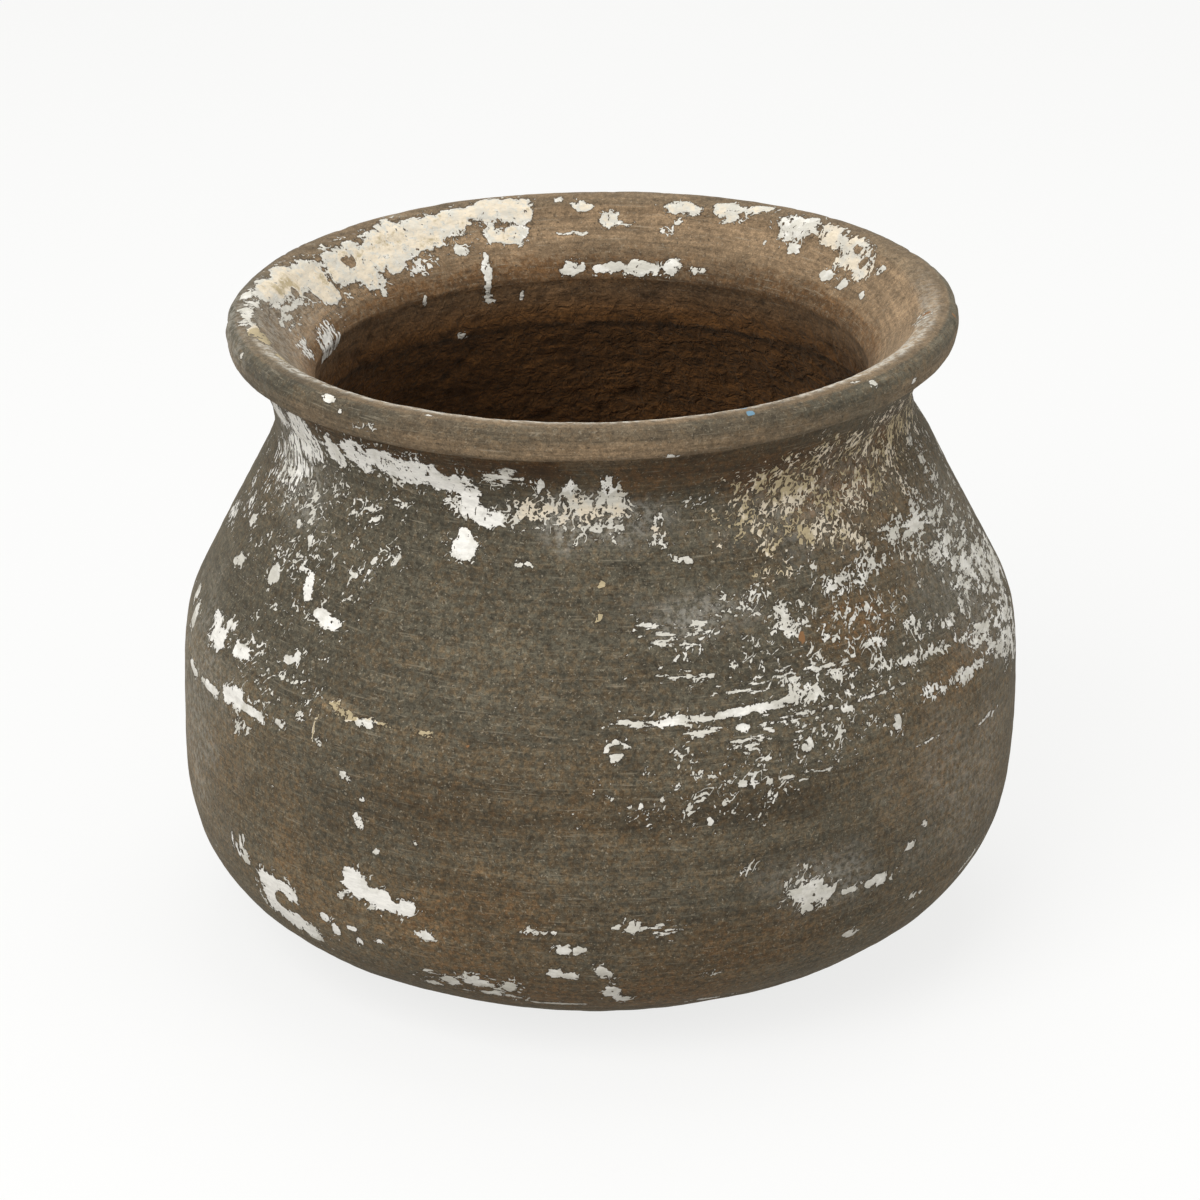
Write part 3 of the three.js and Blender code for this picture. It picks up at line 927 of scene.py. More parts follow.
def frayed_patch(place, patch, up, ragged, lean_angle=0):
    """How far out in a patch: 0 in the middle, 1 at its ragged edge. up is the way along the profile."""
    small = min(patch.half_length, patch.half_height, LARGEST_TOOTH)
    along = arc(place, patch.azimuth) + ragged * small * tooth(place.points, small)
    up = up + ragged * small * tooth(place.points + TOOTH_SHIFT, small)
    turn = math.radians(lean_angle)
    across = along * math.cos(turn) + up * math.sin(turn)
    upright = up * math.cos(turn) - along * math.sin(turn)
    return np.hypot(across / patch.half_length, upright / patch.half_height)


def plain_patch(place, patch):
    """How far out in a patch: 0 in the middle, 1 at its edge."""
    along = arc(place, patch.azimuth) / patch.half_length
    return np.hypot(along, (place.height - patch.height) / patch.half_height)


def limewash(place, inside):
    """Level, spread, cream, streak and slant of the lime at each point of a skin."""
    background = KINDS["crumbs"]
    wash = np.empty((*inside.shape, 5))
    wash[...] = (BARE_LEVEL, background.spread, background.cream, BACKGROUND_STREAK, 0.0)
    kept_clean = np.maximum(inside, smooth_step(*CLEAN_RIM_BAND, place.height))
    wash[..., 0] -= (BARE_LEVEL - CLEAN_LEVEL) * kept_clean
    on_wall = inside < 0.5
    on_flare = ~on_wall & (place.height > FLARE_BOTTOM)
    on_throat = ~on_wall & (place.radius < THROAT_RADIUS) & (place.height < THROAT_TOP)
    for marks, skin, along_profile in (
            (WALL_MARKS, on_wall, place.height),
            (FLARE_MARKS, on_flare, place.radius),
            (THROAT_MARKS, on_throat, place.height)):
        for mark in marks:
            reach = MARK_REACH * max(mark.half_length, mark.half_height) + MARK_MARGIN
            up = along_profile - mark.place
            near = skin & (np.abs(arc(place, mark.azimuth)) < reach) & (np.abs(up) < reach)
            if near.any():
                nearby = Place(*(values[near] for values in place))
                lay_mark(wash, near, mark, frayed_patch(nearby, mark, up[near], RAGGED, mark.lean))
    return wash


def lay_mark(wash, near, mark, far):
    """Lays one mark on the points near it: bare clay, scattered lime, or solid lime with crumbs round it."""
    kind = KINDS[mark.kind]
    if mark.kind == "bare":
        wash[near, 0] += (CLEAN_LEVEL - wash[near, 0]) * smooth_step(*BARE_EDGE, far)
    elif kind.spread > SOLID_SPREAD:
        lay_on(wash, near, smooth_step(*SCATTERED_EDGE, far), mark.level, kind)
    else:
        lay_on(wash, near, smooth_step(*HALO_EDGE, far), HALO_LEVEL, KINDS["crumbs"])
        lay_on(wash, near, smooth_step(*SOLID_EDGE, far), mark.level, kind)


def lay_on(wash, near, share, level, kind):
    """Raises the lime to a level by shares, and gives it the kind's look where that is more than before."""
    before = wash[near]
    raised = before[:, 0] + (level - before[:, 0]) * share
    stronger = (raised > before[:, 0]) & (share > LEAST_SHARE)
    look = np.array([kind.spread, kind.cream, kind.streak, kind.slant])
    after = before.copy()
    after[:, 0] = raised
    after[:, 1:] += (look - before[:, 1:]) * share[:, None] ** LOOK_POWER
    wash[near] = np.where(stronger[:, None], after, before)


# Colour of the clay. Wavelength and seed of each of its changes
BROAD_BROWN = (30, 0)
SMALL_BROWN = (11, 1)
BROAD_SHADE = (24, 2)
SMALL_SHADE = (9, 3)
TINT_FRAY = (14, 5)
TAN_FRAY = (14, 6)
FILM_FRAY = (9, 4)
FLARE_WARMTH = (22, 4)
RIM_WARMTH = (26, 4)
MOUTH_RED = (15, 6)
SMALL_PITS = (2.1, 8)
LIP_LINE = (12, 5)
CREASE_LINE = (9, 6)

# Heights and radii between which a change sets in
BODY_BAND = (112, 98)
RIM_BAND = (176, 183)
LIP_TOP_BAND = (187, 189.5)
LIP_TOP_START = (94.8, 96)
LIP_TOP_END = (102, 100)
LIP_GREY_START = (95.6, 96.6)
FLARE_GREY_START = (84, 92)
UNDER_LIP_HEIGHT = LIP_EDGE_HEIGHT - 1.4
UNDER_LIP_WIDTH = 0.55
CREASE_HEIGHT = 154.8
CREASE_WIDTH = 0.7
RED_RISE = 2
RED_WIDTH = 6
TAN_WANDER = 12

# Sides of the pot: the azimuth, and how far from it a change starts and is full
Side = namedtuple("Side", "azimuth start full")
FRONT = Side(0, 110, 50)
TAN_FRONT = Side(-4, 50, 14)
LEFT = Side(-85, 55, 15)
RIGHT = Side(85, 55, 20)


def towards(azimuth, side):
    """1 on a side of the pot, with a soft ramp to 0 round it."""
    return smooth_step(side.start, side.full, np.abs(turn_apart(azimuth, side.azimuth)))


def lip_top_highlight(place):
    """The narrow flat on top of the lip, on the side that faces the viewer: a painted highlight."""
    flat = smooth_step(*LIP_TOP_START, place.radius) * smooth_step(*LIP_TOP_END, place.radius)
    return towards(place.azimuth, FRONT) * flat * smooth_step(*LIP_TOP_BAND, place.height)


def clay_tint(place, inside):
    """How brown, warm, inside-dark and shaded the bare clay is at each point of a skin. The shade holds
    painted light and painted shade as well as the clay's own tone.
    """
    points = place.points
    below = smooth_step(*BODY_BAND, place.height)
    brown = 0.12 + 0.25 * below + 0.22 * noise(points, *BROAD_BROWN) + 0.15 * noise(points, *SMALL_BROWN)
    # The upper body is made darker than the lower body: partly the clay's tone, partly painted shade that
    # evens out the light from above.
    shade = 0.1 - 0.08 * below + 0.1 * noise(points, *BROAD_SHADE) + 0.06 * noise(points, *SMALL_SHADE)
    fray = 0.3 * noise(points, *TINT_FRAY)
    for tint in TINTS:
        share = smooth_step(*TINT_EDGE, plain_patch(place, tint) + fray)
        brown = brown + tint.brown * share
        shade = shade + (tint.dark - tint.light) * share
    edge = place.height - MOUTH_EDGE_HEIGHT + 0.4 * noise(points, *DENTS)
    reddened = ridge(edge - RED_RISE, RED_WIDTH) * (1.65 + 0.4 * noise(points, *MOUTH_RED))
    brown = brown * (1 - inside) + reddened * inside
    warm = clay_warmth(place, inside)
    dark = inside * (0.58 * smooth_step(0.6, -0.9, edge) + 0.42 * smooth_step(-1, -15, edge))
    shade = shade + wear_and_painted_shading(place, inside, dark)
    return np.stack([np.clip(brown, 0, 2), np.clip(warm, 0, 1), np.clip(dark, 0, 1), shade], axis=-1)


def clay_warmth(place, inside):
    """How much of the flare's warm brown the clay has: most of it on the flare, some of it on the lip."""
    points = place.points
    tan_part = towards(place.azimuth + TAN_WANDER * noise(points, *TAN_FRAY), TAN_FRONT)
    on_lip = smooth_step(*RIM_BAND, place.height) * (0.22 + 0.4 * tan_part + 0.2 * noise(points, *RIM_WARMTH))
    warm = np.where(inside > 0.5, 0.85 + 0.15 * noise(points, *FLARE_WARMTH), on_lip)
    grey_flare = towards(place.azimuth, LEFT) * smooth_step(*FLARE_GREY_START, place.radius) * inside
    grey_lip = smooth_step(*LIP_GREY_START, place.radius) * smooth_step(*LIP_TOP_BAND, place.height)
    return warm - 0.3 * grey_flare - 0.3 * grey_lip


def wear_and_painted_shading(place, inside, dark):
    """A paler rim, with a painted highlight on its right side and on the flat of the lip in front; a dark
    line just under the lip; painted shade in the throat's pits, and a dark line along its crease.
    """
    points, height = place.points, place.height
    # Paler rim: a little all round, and much more on the right, a painted highlight where the light falls on
    # that side.
    worn = (0.06 + 0.22 * towards(place.azimuth, RIGHT)) * smooth_step(*RIM_BAND, height)
    under_lip = ridge(height - UNDER_LIP_HEIGHT + 0.5 * noise(points, *LIP_LINE), UNDER_LIP_WIDTH)
    # Painted shade in the throat's pits, deepening the shade that their relief throws.
    pits = pitted(points) + 0.6 * smooth_step(0.2, 0.8, noise(points, *SMALL_PITS))
    crease = ridge(height - CREASE_HEIGHT + 1.2 * noise(points, *CREASE_LINE), CREASE_WIDTH)
    throat = dark * (0.34 * pits + 0.55 * crease - 0.12 * noise(points, *ROUGHNESS))
    return (1 - inside) * (0.5 * under_lip - worn) - 0.5 * lip_top_highlight(place) + throat


def spots(place, inside):
    """Shares of blue paint, of orange clay and of a film of lime at each point. The film also carries a
    painted highlight on top of the lip in front.
    """
    shares = np.zeros((*inside.shape, 3))
    for spot in SPOTS:
        far = frayed_patch(place, spot, place.height - spot.height, SPOT_RAGGED)
        share = smooth_step(*SPOT_EDGE, far)
        shares[..., 0] = np.maximum(shares[..., 0], spot.blue * share)
        shares[..., 1] = np.maximum(shares[..., 1], spot.orange * share)
    fray = 0.35 * noise(place.points, *FILM_FRAY)
    for haze in HAZES:
        share = haze.share * smooth_step(*HAZE_EDGE, plain_patch(place, haze) + fray)
        on_skin = 1.0 if haze.height > LIP_EDGE_HEIGHT else 1 - inside
        shares[..., 2] = np.maximum(shares[..., 2], share * on_skin)
    # The film on the flat of the lip in front is a painted highlight.
    shares[..., 2] = np.maximum(shares[..., 2], 0.4 * lip_top_highlight(place))
    return shares


# Meshes

COLUMNS = 864
BAKE_STRIPS = (1, 2, 3, 4, 6)
BAKE_MARGIN = 0.006
SHARP_ANGLE = math.radians(48)
THICK_LEVEL = (0.35, 0.75)
THICK_SPREAD = (1.6, 0.8)


def add_vectors(mesh, name, values):
    """Stores three numbers per vertex under a name."""
    layer = mesh.attributes.new(name, "FLOAT_VECTOR", "POINT")
    layer.data.foreach_set("vector", np.ascontiguousarray(values, dtype=np.float32).ravel())


def bake_map(mesh, profile, rows, columns):
    """A map for baking: the skin in strips, one above the other. rows and columns are per corner."""
    ring = np.vstack([profile, profile[:1]])
    lengths = np.r_[0, np.cumsum(np.hypot(*np.diff(ring, axis=0).T))]
    around = 2 * np.pi * profile[:, 0].max()
    wanted = math.sqrt(around / lengths[-1])
    strips = min(BAKE_STRIPS, key=lambda count: abs(count - wanted))
    per_strip = COLUMNS // strips
    strip = columns.min(axis=1, keepdims=True) // per_strip
    across = (columns - strip * per_strip) / per_strip
    upwards = lengths[rows] / lengths[-1]
    u = BAKE_MARGIN + (1 - 2 * BAKE_MARGIN) * across
    v = (strip + BAKE_MARGIN * strips + (1 - 2 * BAKE_MARGIN * strips) * upwards) / strips
    layer = mesh.uv_layers.new(name="OFBake")
    layer.data.foreach_set("uv", np.stack([u, v], axis=-1).astype(np.float32).ravel())


def swept(profile, turns):
    """Rows of radius and height, turned round the axis. Turn 0 is the front."""
    points = np.empty((len(profile), len(turns), 3))
    points[..., 0] = profile[:, :1] * np.sin(turns)
    points[..., 1] = -profile[:, :1] * np.cos(turns)
    points[..., 2] = profile[:, 1:]
    return points


def pressed_skin(settings, profile, inside, hidden, normals):
    """Points of a piece with its relief, and the numbers that its material reads."""
    turns = np.arange(COLUMNS) * 2 * np.pi / COLUMNS
    inside = np.repeat(inside[:, None], COLUMNS, axis=1)
    height = np.broadcast_to(profile[:, 1:], inside.shape)
    radius = np.broadcast_to(profile[:, :1], inside.shape)
    azimuth = np.broadcast_to(np.degrees(turns), inside.shape)
    place = Place(swept(profile, turns), height, radius, azimuth)

    wash = limewash(place, inside)
    thick = smooth_step(*THICK_LEVEL, wash[..., 0]) * smooth_step(*THICK_SPREAD, wash[..., 1])
    standing = relief(settings.relief, place, inside) + settings.lime.thickness / MM * thick
    offset = standing[..., None] * swept(normals, turns)
    spread_over_joints(offset, hidden)
    points = lean(settings.relief, place.points + offset)
    tint = clay_tint(place, inside)
    layers = {
        "lime": wash[..., :3],
        # The shade in it holds painted light and painted shade as well as the clay's own tone.
        "grain": np.concatenate([wash[..., 3:], tint[..., 3:]], axis=-1),
        "clay": tint[..., :3],
        "spots": spots(place, inside),
    }
    return points.reshape(-1, 3), {name: values.reshape(-1, 3) for name, values in layers.items()}


def spread_over_joints(offset, hidden):
    """Lets the rows inside a joint follow the skins at its two ends, so that both sections still meet."""
    skin_rows = np.flatnonzero(~hidden)
    for row in np.flatnonzero(hidden):
        following = np.searchsorted(skin_rows, row)
        later = skin_rows[following % len(skin_rows)]
        earlier = skin_rows[following - 1]
        before = (row - earlier) % len(hidden)
        after = (later - row) % len(hidden)
        share = before / (before + after)
        offset[row] = offset[earlier] * (1 - share) + offset[later] * share


def turned_piece(context, node, material):
    """Turns the node's outline round the axis, presses the relief into it and sets it in the node's place."""
    outline = OUTLINES[node]
    off_axis = slice(None) if outline.closed else slice(1, -1)
    profile, inside, hidden, normals = (values[off_axis] for values in outline[:4])
    profile = profile / MM
    points, layers = pressed_skin(context.scene.water_pot, profile, inside, hidden, normals)

    rows = len(profile)
    last = rows if outline.closed else rows - 1
    row, column = (grid.ravel() for grid in np.meshgrid(np.arange(last), np.arange(COLUMNS), indexing="ij"))
    corner_rows = np.stack([row, row, row + 1, row + 1], axis=1)
    corner_columns = np.stack([column, column + 1, column + 1, column], axis=1)
    faces = ((corner_rows % rows) * COLUMNS + corner_columns % COLUMNS).tolist()
    if not outline.closed:
        points, layers = with_middles(faces, points, layers)

    mesh = bpy.data.meshes.new(node + "_clay")
    mesh.from_pydata((points * MM).tolist(), [], faces)
    if outline.closed:
        bake_map(mesh, profile, corner_rows, corner_columns)
    for name, values in layers.items():
        add_vectors(mesh, name, values)
    mesh.shade_smooth()
    mesh.set_sharp_from_angle(angle=SHARP_ANGLE)
    mesh.materials.append(material)
    mesh.update()
    piece = bpy.data.objects.new(node + "_clay", mesh)
    context.scene.collection.objects.link(piece)
    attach(piece, "root")
    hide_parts(node)


def with_middles(faces, points, layers):
    """Closes a dish at its axis: a fan of faces to one point below and to one above."""
    below, above = len(points), len(points) + 1
    top = len(points) - COLUMNS
    for column in range(COLUMNS):
        onward = (column + 1) % COLUMNS
        faces.append((onward, column, below))
        faces.append((top + column, top + onward, above))
    points = np.vstack([points, points[:COLUMNS].mean(axis=0), points[-COLUMNS:].mean(axis=0)])
    layers = {name: np.vstack([values, values[:1], values[-1:]]) for name, values in layers.items()}
    return points, layers


# Materials

class Shader:
    """Short calls that add shader nodes to a material or a world and link them."""

    def __init__(self, owner):
        owner.use_nodes = True
        self.tree = owner.node_tree
        self.tree.nodes.clear()

    def add(self, kind, inputs=(), **settings):
        """One node. inputs holds pairs of a socket's name or number and a value or another socket."""
        node = self.tree.nodes.new(kind)
        for name, value in settings.items():
            setattr(node, name, value)
        for name, value in inputs:
            if isinstance(value, bpy.types.NodeSocket):
                self.tree.links.new(value, node.inputs[name])
            else:
                node.inputs[name].default_value = value
        return node

    def math(self, operation, first, second=0.0):
        """A simple step with one or two numbers."""
        return self.add("ShaderNodeMath", [(0, first), (1, second)], operation=operation).outputs[0]

    def plus(self, first, second):
        """The sum of two numbers."""
        return self.math("ADD", first, second)

    def minus(self, first, second):
        """The first number less the second."""
        return self.math("SUBTRACT", first, second)

    def times(self, first, second):
        """The product of two numbers."""
        return self.math("MULTIPLY", first, second)

    def larger(self, first, second):
        """The larger of two numbers."""
        return self.math("MAXIMUM", first, second)

    def step(self, value, low, high, bottom=0.0, top=1.0):
        """A soft ramp from bottom to top while value goes from low to high."""
        span = [("Value", value), ("From Min", low), ("From Max", high)]
        ends = [("To Min", bottom), ("To Max", top)]
        return self.add("ShaderNodeMapRange", span + ends, interpolation_type="SMOOTHSTEP").outputs[0]

    def blend(self, share, first, second):
        """A mix of two numbers. A mix node takes them at its inputs 2 and 3."""
        return self.add("ShaderNodeMix", [(0, share), (2, first), (3, second)]).outputs[0]

    def mix(self, share, first, second, blend="MIX"):
        """A mix of two colours. A mix node takes them at its inputs 6 and 7 and gives one at output 2."""
        inputs = [(0, share), (6, first), (7, second)]
        return self.add("ShaderNodeMix", inputs, data_type="RGBA", blend_type=blend).outputs[2]

    def lit(self, colour, factor):
        """The colour times a factor."""
        grey = self.add("ShaderNodeCombineColor", [(part, factor) for part in range(3)])
        return self.mix(1.0, colour, grey.outputs[0], "MULTIPLY")

    def stretched(self, vector, scales):
        """The vector with each of its three parts scaled."""
        return self.add("ShaderNodeVectorMath", [(0, vector), (1, scales)], operation="MULTIPLY").outputs[0]

    def parts(self, name):
        """The three numbers that the mesh stores under a name."""
        stored = self.add("ShaderNodeAttribute", attribute_name=name)
        return self.add("ShaderNodeSeparateXYZ", [(0, stored.outputs["Vector"])]).outputs

    def seen_directly(self):
        """1 for what the camera sees, also in a gloss or through glass, and 0 for light thrown about."""
        ray = self.add("ShaderNodeLightPath").outputs
        direct = self.larger(ray["Is Camera Ray"], ray["Is Glossy Ray"])
        return self.larger(direct, ray["Is Transmission Ray"])


# Textures of the clay and the lime. scale is lumps per millimetre of the grid
Texture = namedtuple("Texture", "grid scale detail roughness distortion", defaults=(0.0,))
TEXTURES = {
    "grain": Texture("even", 0.75, 3.0, 0.65, 0.8),
    "mottle": Texture("even", 0.22, 4.0, 0.6),
    "wheel": Texture("rings", 1.1, 4.0, 0.7),
    "bands": Texture("rings", 0.16, 3.0, 0.6),
    "speckle": Texture("even", 0.6, 2.0, 0.6),
    "pepper": Texture("even", 2.6, 1.0, 0.5),
    "grit": Texture("even", 1.1, 2.0, 0.6),
    "chalk_lines": Texture("rings", 1.7, 3.0, 0.65),
    "pores": Texture("even", 0.9, 3.0, 0.7),
    "scratches": Texture("long_rings", 1.3, 2.0, 0.6),
    "film": Texture("even", 0.5, 4.0, 0.7),
    "blobs": Texture("even", 0.42, 3.0, 0.55),
    "crumb_lines": Texture("slanting", 0.3, 1.0, 0.5, 0.8),
    "crumbs": Texture("even", 0.48, 2.0, 0.5, 1.0),
    "fine": Texture("even", 1.6, 2.0, 0.6),
    "drawn": Texture("long_rings", 0.8, 3.0, 0.6),
    "dash_lines": Texture("slanting", 0.42, 1.0, 0.5, 0.8),
    "dashes": Texture("slanting", 0.62, 1.5, 0.5, 0.8),
    "strands": Texture("upright", 0.8, 2.0, 0.55, 0.3),
    "clumps": Texture("even", 0.15, 2.0, 0.5),
    "pinholes": Texture("upright", 1.0, 2.0, 0.6),
    "blotches": Texture("even", 0.13, 4.0, 0.65),
    "chalk": Texture("long_rings", 0.9, 3.0, 0.7),
    "wiped": Texture("even", 0.24, 3.0, 0.6, 0.6),
}
# Radians that the slanting grid turns per millimetre of height
TWIST = -0.004
LIME_EDGE = (0.45, 0.56)
EDGE_DIRT_AND_SHADOW = (0.2, 0.42)
SPOT_SHARE = (0.4, 0.6)

Finish = namedtuple("Finish", "grain streaks pits bump roughness")
BODY_FINISH = Finish(grain=0.5, streaks=0.25, pits=0.7, bump=0.8, roughness=0.9)
RIM_FINISH = Finish(grain=0.34, streaks=0.3, pits=0.7, bump=1.1, roughness=0.86)
LUTING_FINISH = Finish(grain=0.6, streaks=0.3, pits=1.0, bump=1.0, roughness=0.94)


class ClayShader(Shader):
    """A shader that knows what the skins store, and the grids that the clay's textures lie on."""

    def __init__(self, material):
        super().__init__(material)
        self.level, self.spread, self.cream = self.parts("lime")
        self.streak, self.slant, self.shade = self.parts("grain")
        self.brown, self.warm, self.dark = self.parts("clay")
        self.blue, self.orange, self.haze = self.parts("spots")
        even = self.stretched(self.add("ShaderNodeTexCoord").outputs["Object"], (1 / MM, 1 / MM, 1 / MM))
        height = self.add("ShaderNodeSeparateXYZ", [(0, even)]).outputs[2]
        twist = [("Vector", even), ("Angle", self.times(height, TWIST))]
        twisted = self.add("ShaderNodeVectorRotate", twist, rotation_type="Z_AXIS").outputs[0]
        self.grids = {
            "even": even,
            "rings": self.stretched(even, (0.05, 0.05, 1.0)),
            "long_rings": self.stretched(even, (0.26, 0.26, 1.0)),
            "slanting": self.stretched(twisted, (1.0, 1.0, 0.8)),
            "upright": self.stretched(even, (1.0, 1.0, 0.22)),
        }

    def texture(self, name):
        """One of the textures, from 0 to 1."""
        texture = TEXTURES[name]
        inputs = [("Vector", self.grids[texture.grid])]
        for part in ("scale", "detail", "roughness", "distortion"):
            inputs.append((part.capitalize(), getattr(texture, part)))
        return self.add("ShaderNodeTexNoise", inputs).outputs[0]

    def winding_lines(self, name, width):
        """Lines that wind along the middle values of a texture."""
        apart = self.math("ABSOLUTE", self.minus(self.texture(name), 0.5))
        return self.step(apart, 0.0, width, 0.78, 0.38)


def clay_material(name, settings, finish):
    """Weathered clay under what is left of the limewash."""
    known = bpy.data.materials.get(name)
    if known:
        return known
    material = bpy.data.materials.new(name)
    shader = ClayShader(material)
    grain, wheel, pores = shader.texture("grain"), shader.texture("wheel"), clay_pores(shader, finish)
    colour = bare_clay(shader, settings.clay, finish, grain, wheel, pores)
    cover = lime_cover(shader)
    lime = shader.step(cover, *LIME_EDGE)
    colour = shader.mix(lime_film(shader), colour, tuple(settings.lime.worn))
    # A dark rim round the lime: dirt, and a painted shadow of the lime's raised edge.
    colour = shader.mix(shader.step(cover, *EDGE_DIRT_AND_SHADOW, 0.0, 0.72), colour, tuple(settings.clay.pit))
    colour = shader.mix(lime, colour, lime_colour(shader, settings.lime, cover))
    colour = shader.mix(shader.step(shader.orange, *SPOT_SHARE), colour, tuple(settings.clay.orange))
    colour = shader.mix(shader.step(shader.blue, *SPOT_SHARE, 0.0, 0.8), colour, tuple(settings.clay.blue))
    normal = fine_relief(shader, finish, grain, wheel, pores, lime)
    surface = shader.add("ShaderNodeBsdfPrincipled", [
        ("Base Color", colour), ("Normal", normal),
        ("Roughness", finish.roughness), ("Specular IOR Level", 0.25),
        ("Sheen Weight", 0.16), ("Sheen Roughness", 0.6), ("Sheen Tint", tuple(settings.clay.fleck))])
    shader.add("ShaderNodeOutputMaterial", [("Surface", surface.outputs[0])])
    return material


def clay_pores(shader, finish):
    """Dark pores and scratches."""
    pores = shader.step(shader.texture("pores"), 0.4, 0.28, 0.0, finish.pits)
    return shader.larger(pores, shader.step(shader.texture("scratches"), 0.4, 0.3, 0.0, 0.35))


def bare_clay(shader, colours, finish, grain, wheel, pores):
    """Colour of the clay: its own brown, uneven, lightened and darkened by the stored shade with its painted
    light and shade, with pale grit and dark pores.
    """
    browned = shader.plus(shader.brown, shader.step(shader.texture("speckle"), 0.25, 0.75, -0.55, 0.55))
    colour = shader.mix(browned, tuple(colours.grey), tuple(colours.brown))
    colour = shader.mix(shader.warm, colour, tuple(colours.warm))
    colour = shader.mix(shader.step(browned, 0.8, 2.0), colour, tuple(colours.rust))
    colour = shader.mix(shader.dark, colour, tuple(colours.dark))
    lightness = shader.minus(1.0, shader.shade)
    for texture, strength in (
            (shader.texture("pepper"), 0.2),
            (shader.texture("mottle"), 0.15),
            (wheel, finish.streaks),
            (shader.texture("bands"), 0.2),
            (grain, finish.grain)):
        lightness = shader.times(lightness, shader.step(texture, 0.25, 0.75, 1.0 - strength, 1.0 + strength))
    colour = shader.lit(colour, lightness)
    grit = shader.step(shader.texture("grit"), 0.62, 0.7, 0.0, 1.1 * finish.grain)
    grit = shader.larger(grit, shader.step(shader.texture("chalk_lines"), 0.6, 0.72, 0.0, 0.4))
    not_dark = shader.minus(1.0, shader.times(shader.dark, 0.8))
    colour = shader.mix(shader.times(grit, not_dark), colour, tuple(colours.fleck))
    return shader.mix(pores, colour, tuple(colours.pit))


def lime_film(shader):
    """How much of a thin film of lime lies on the clay."""
    film = shader.step(shader.texture("film"), 0.4, 0.64, 0.2, 2.2)
    return shader.times(film, shader.times(shader.haze, shader.minus(1.0, shader.dark)))


def lime_cover(shader):
    """How far the lime covers the clay. It shows from LIME_EDGE up."""
    scattered = shader.step(shader.spread, 1.3, 2.0)
    crumbs = shader.blend(0.6, shader.winding_lines("crumb_lines", 0.085), shader.texture("crumbs"))
    dashes = shader.blend(0.6, shader.winding_lines("dash_lines", 0.1), shader.texture("dashes"))
    pattern = shader.blend(scattered, shader.texture("blobs"), crumbs)
    pattern = shader.blend(shader.streak, pattern, shader.texture("drawn"))
    pattern = shader.blend(shader.larger(shader.slant, 0.0), pattern, dashes)
    brushed = shader.larger(shader.times(shader.slant, -1.0), 0.0)
    pattern = shader.blend(brushed, pattern, shader.texture("strands"))
    pattern = shader.blend(0.1, pattern, shader.texture("fine"))
    flakes = shader.times(shader.minus(pattern, 0.5), shader.times(shader.spread, 2.4))
    clumps = shader.step(shader.texture("clumps"), 0.3, 0.7, -0.3, 0.3)
    cover = shader.plus(shader.plus(shader.level, flakes), shader.times(clumps, scattered))
    return shader.minus(cover, shader.step(shader.texture("pinholes"), 0.4, 0.3, 0.0, 0.45))


def lime_colour(shader, colours, cover):
    """Colour of the lime, from clean to stained. A stained sheet is clean at its edge."""
    stain = shader.plus(shader.cream, shader.step(shader.texture("blotches"), 0.35, 0.7, -0.35, 0.3))
    fresh_edge = shader.times(shader.step(cover, 0.95, 0.6, 0.0, 0.7), shader.step(shader.spread, 2.0, 1.3))
    stain = shader.minus(stain, shader.times(fresh_edge, shader.step(shader.cream, 0.2, 0.6)))
    colour = shader.mix(shader.step(stain, -0.55, 0.05), tuple(colours.white), tuple(colours.worn))
    colour = shader.mix(shader.step(stain, 0.3, 0.8), colour, tuple(colours.cream))
    colour = shader.mix(shader.step(stain, 0.85, 1.15), colour, tuple(colours.tan))
    return shader.lit(colour, shader.step(shader.texture("chalk"), 0.3, 0.7, 0.86, 1.04))


def fine_relief(shader, finish, grain, wheel, pores, lime):
    """Normals of the relief that is finer than the mesh."""
    rough = shader.times(grain, 0.12 * finish.bump)
    rough = shader.plus(rough, shader.times(wheel, 0.05 * finish.bump))
    rough = shader.minus(rough, shader.times(pores, 0.14 * finish.bump))
    rough = shader.plus(rough, shader.times(lime, 0.16))
    wiped = shader.times(shader.texture("wiped"), shader.dark)
    rough = shader.plus(rough, shader.times(wiped, 2.2))
    return shader.add("ShaderNodeBump", [("Strength", 1.0), ("Distance", MM), ("Height", rough)]).outputs[0]


def body_clay(settings):
    """Clay of the body's sections."""
    return clay_material("weathered_body", settings, BODY_FINISH)


def rim_clay(settings):
    """Clay of the collar and the lip, worn smoother and turned more finely."""
    return clay_material("weathered_rim", settings, RIM_FINISH)


def luting_clay(settings):
    """Rough clay of the coils pressed over the joints."""
    return clay_material("rough_luting", settings, LUTING_FINISH)


# Stage, in metres

FLOOR_HALF = 4.0
FLOOR_BOUNCE = (0.45, 0.44, 0.43, 1.0)
KEPT_SHADOW = 0.17
ROOM_WHITE = (1.0, 1.0, 1.0, 1.0)
ROOM_TONE = 0.98
SENSOR_WIDTH = 36

Lamp = namedtuple("Lamp", "name power place side")


def pale_surface(colour):
    """Matt floor that looks nearly white to the camera and keeps a share of the pot's shadow."""
    material = bpy.data.materials.new("pale_floor")
    shader = Shader(material)
    direct = shader.seen_directly()
    matt = shader.add("ShaderNodeBsdfDiffuse", [("Color", shader.mix(direct, FLOOR_BOUNCE, colour))])
    glow = shader.add("ShaderNodeEmission", [("Color", colour), ("Strength", 1.0)])
    share = shader.times(direct, 1.0 - KEPT_SHADOW)
    both = shader.add("ShaderNodeMixShader", [(0, share), (1, matt.outputs[0]), (2, glow.outputs[0])])
    shader.add("ShaderNodeOutputMaterial", [("Surface", both.outputs[0])])
    return material


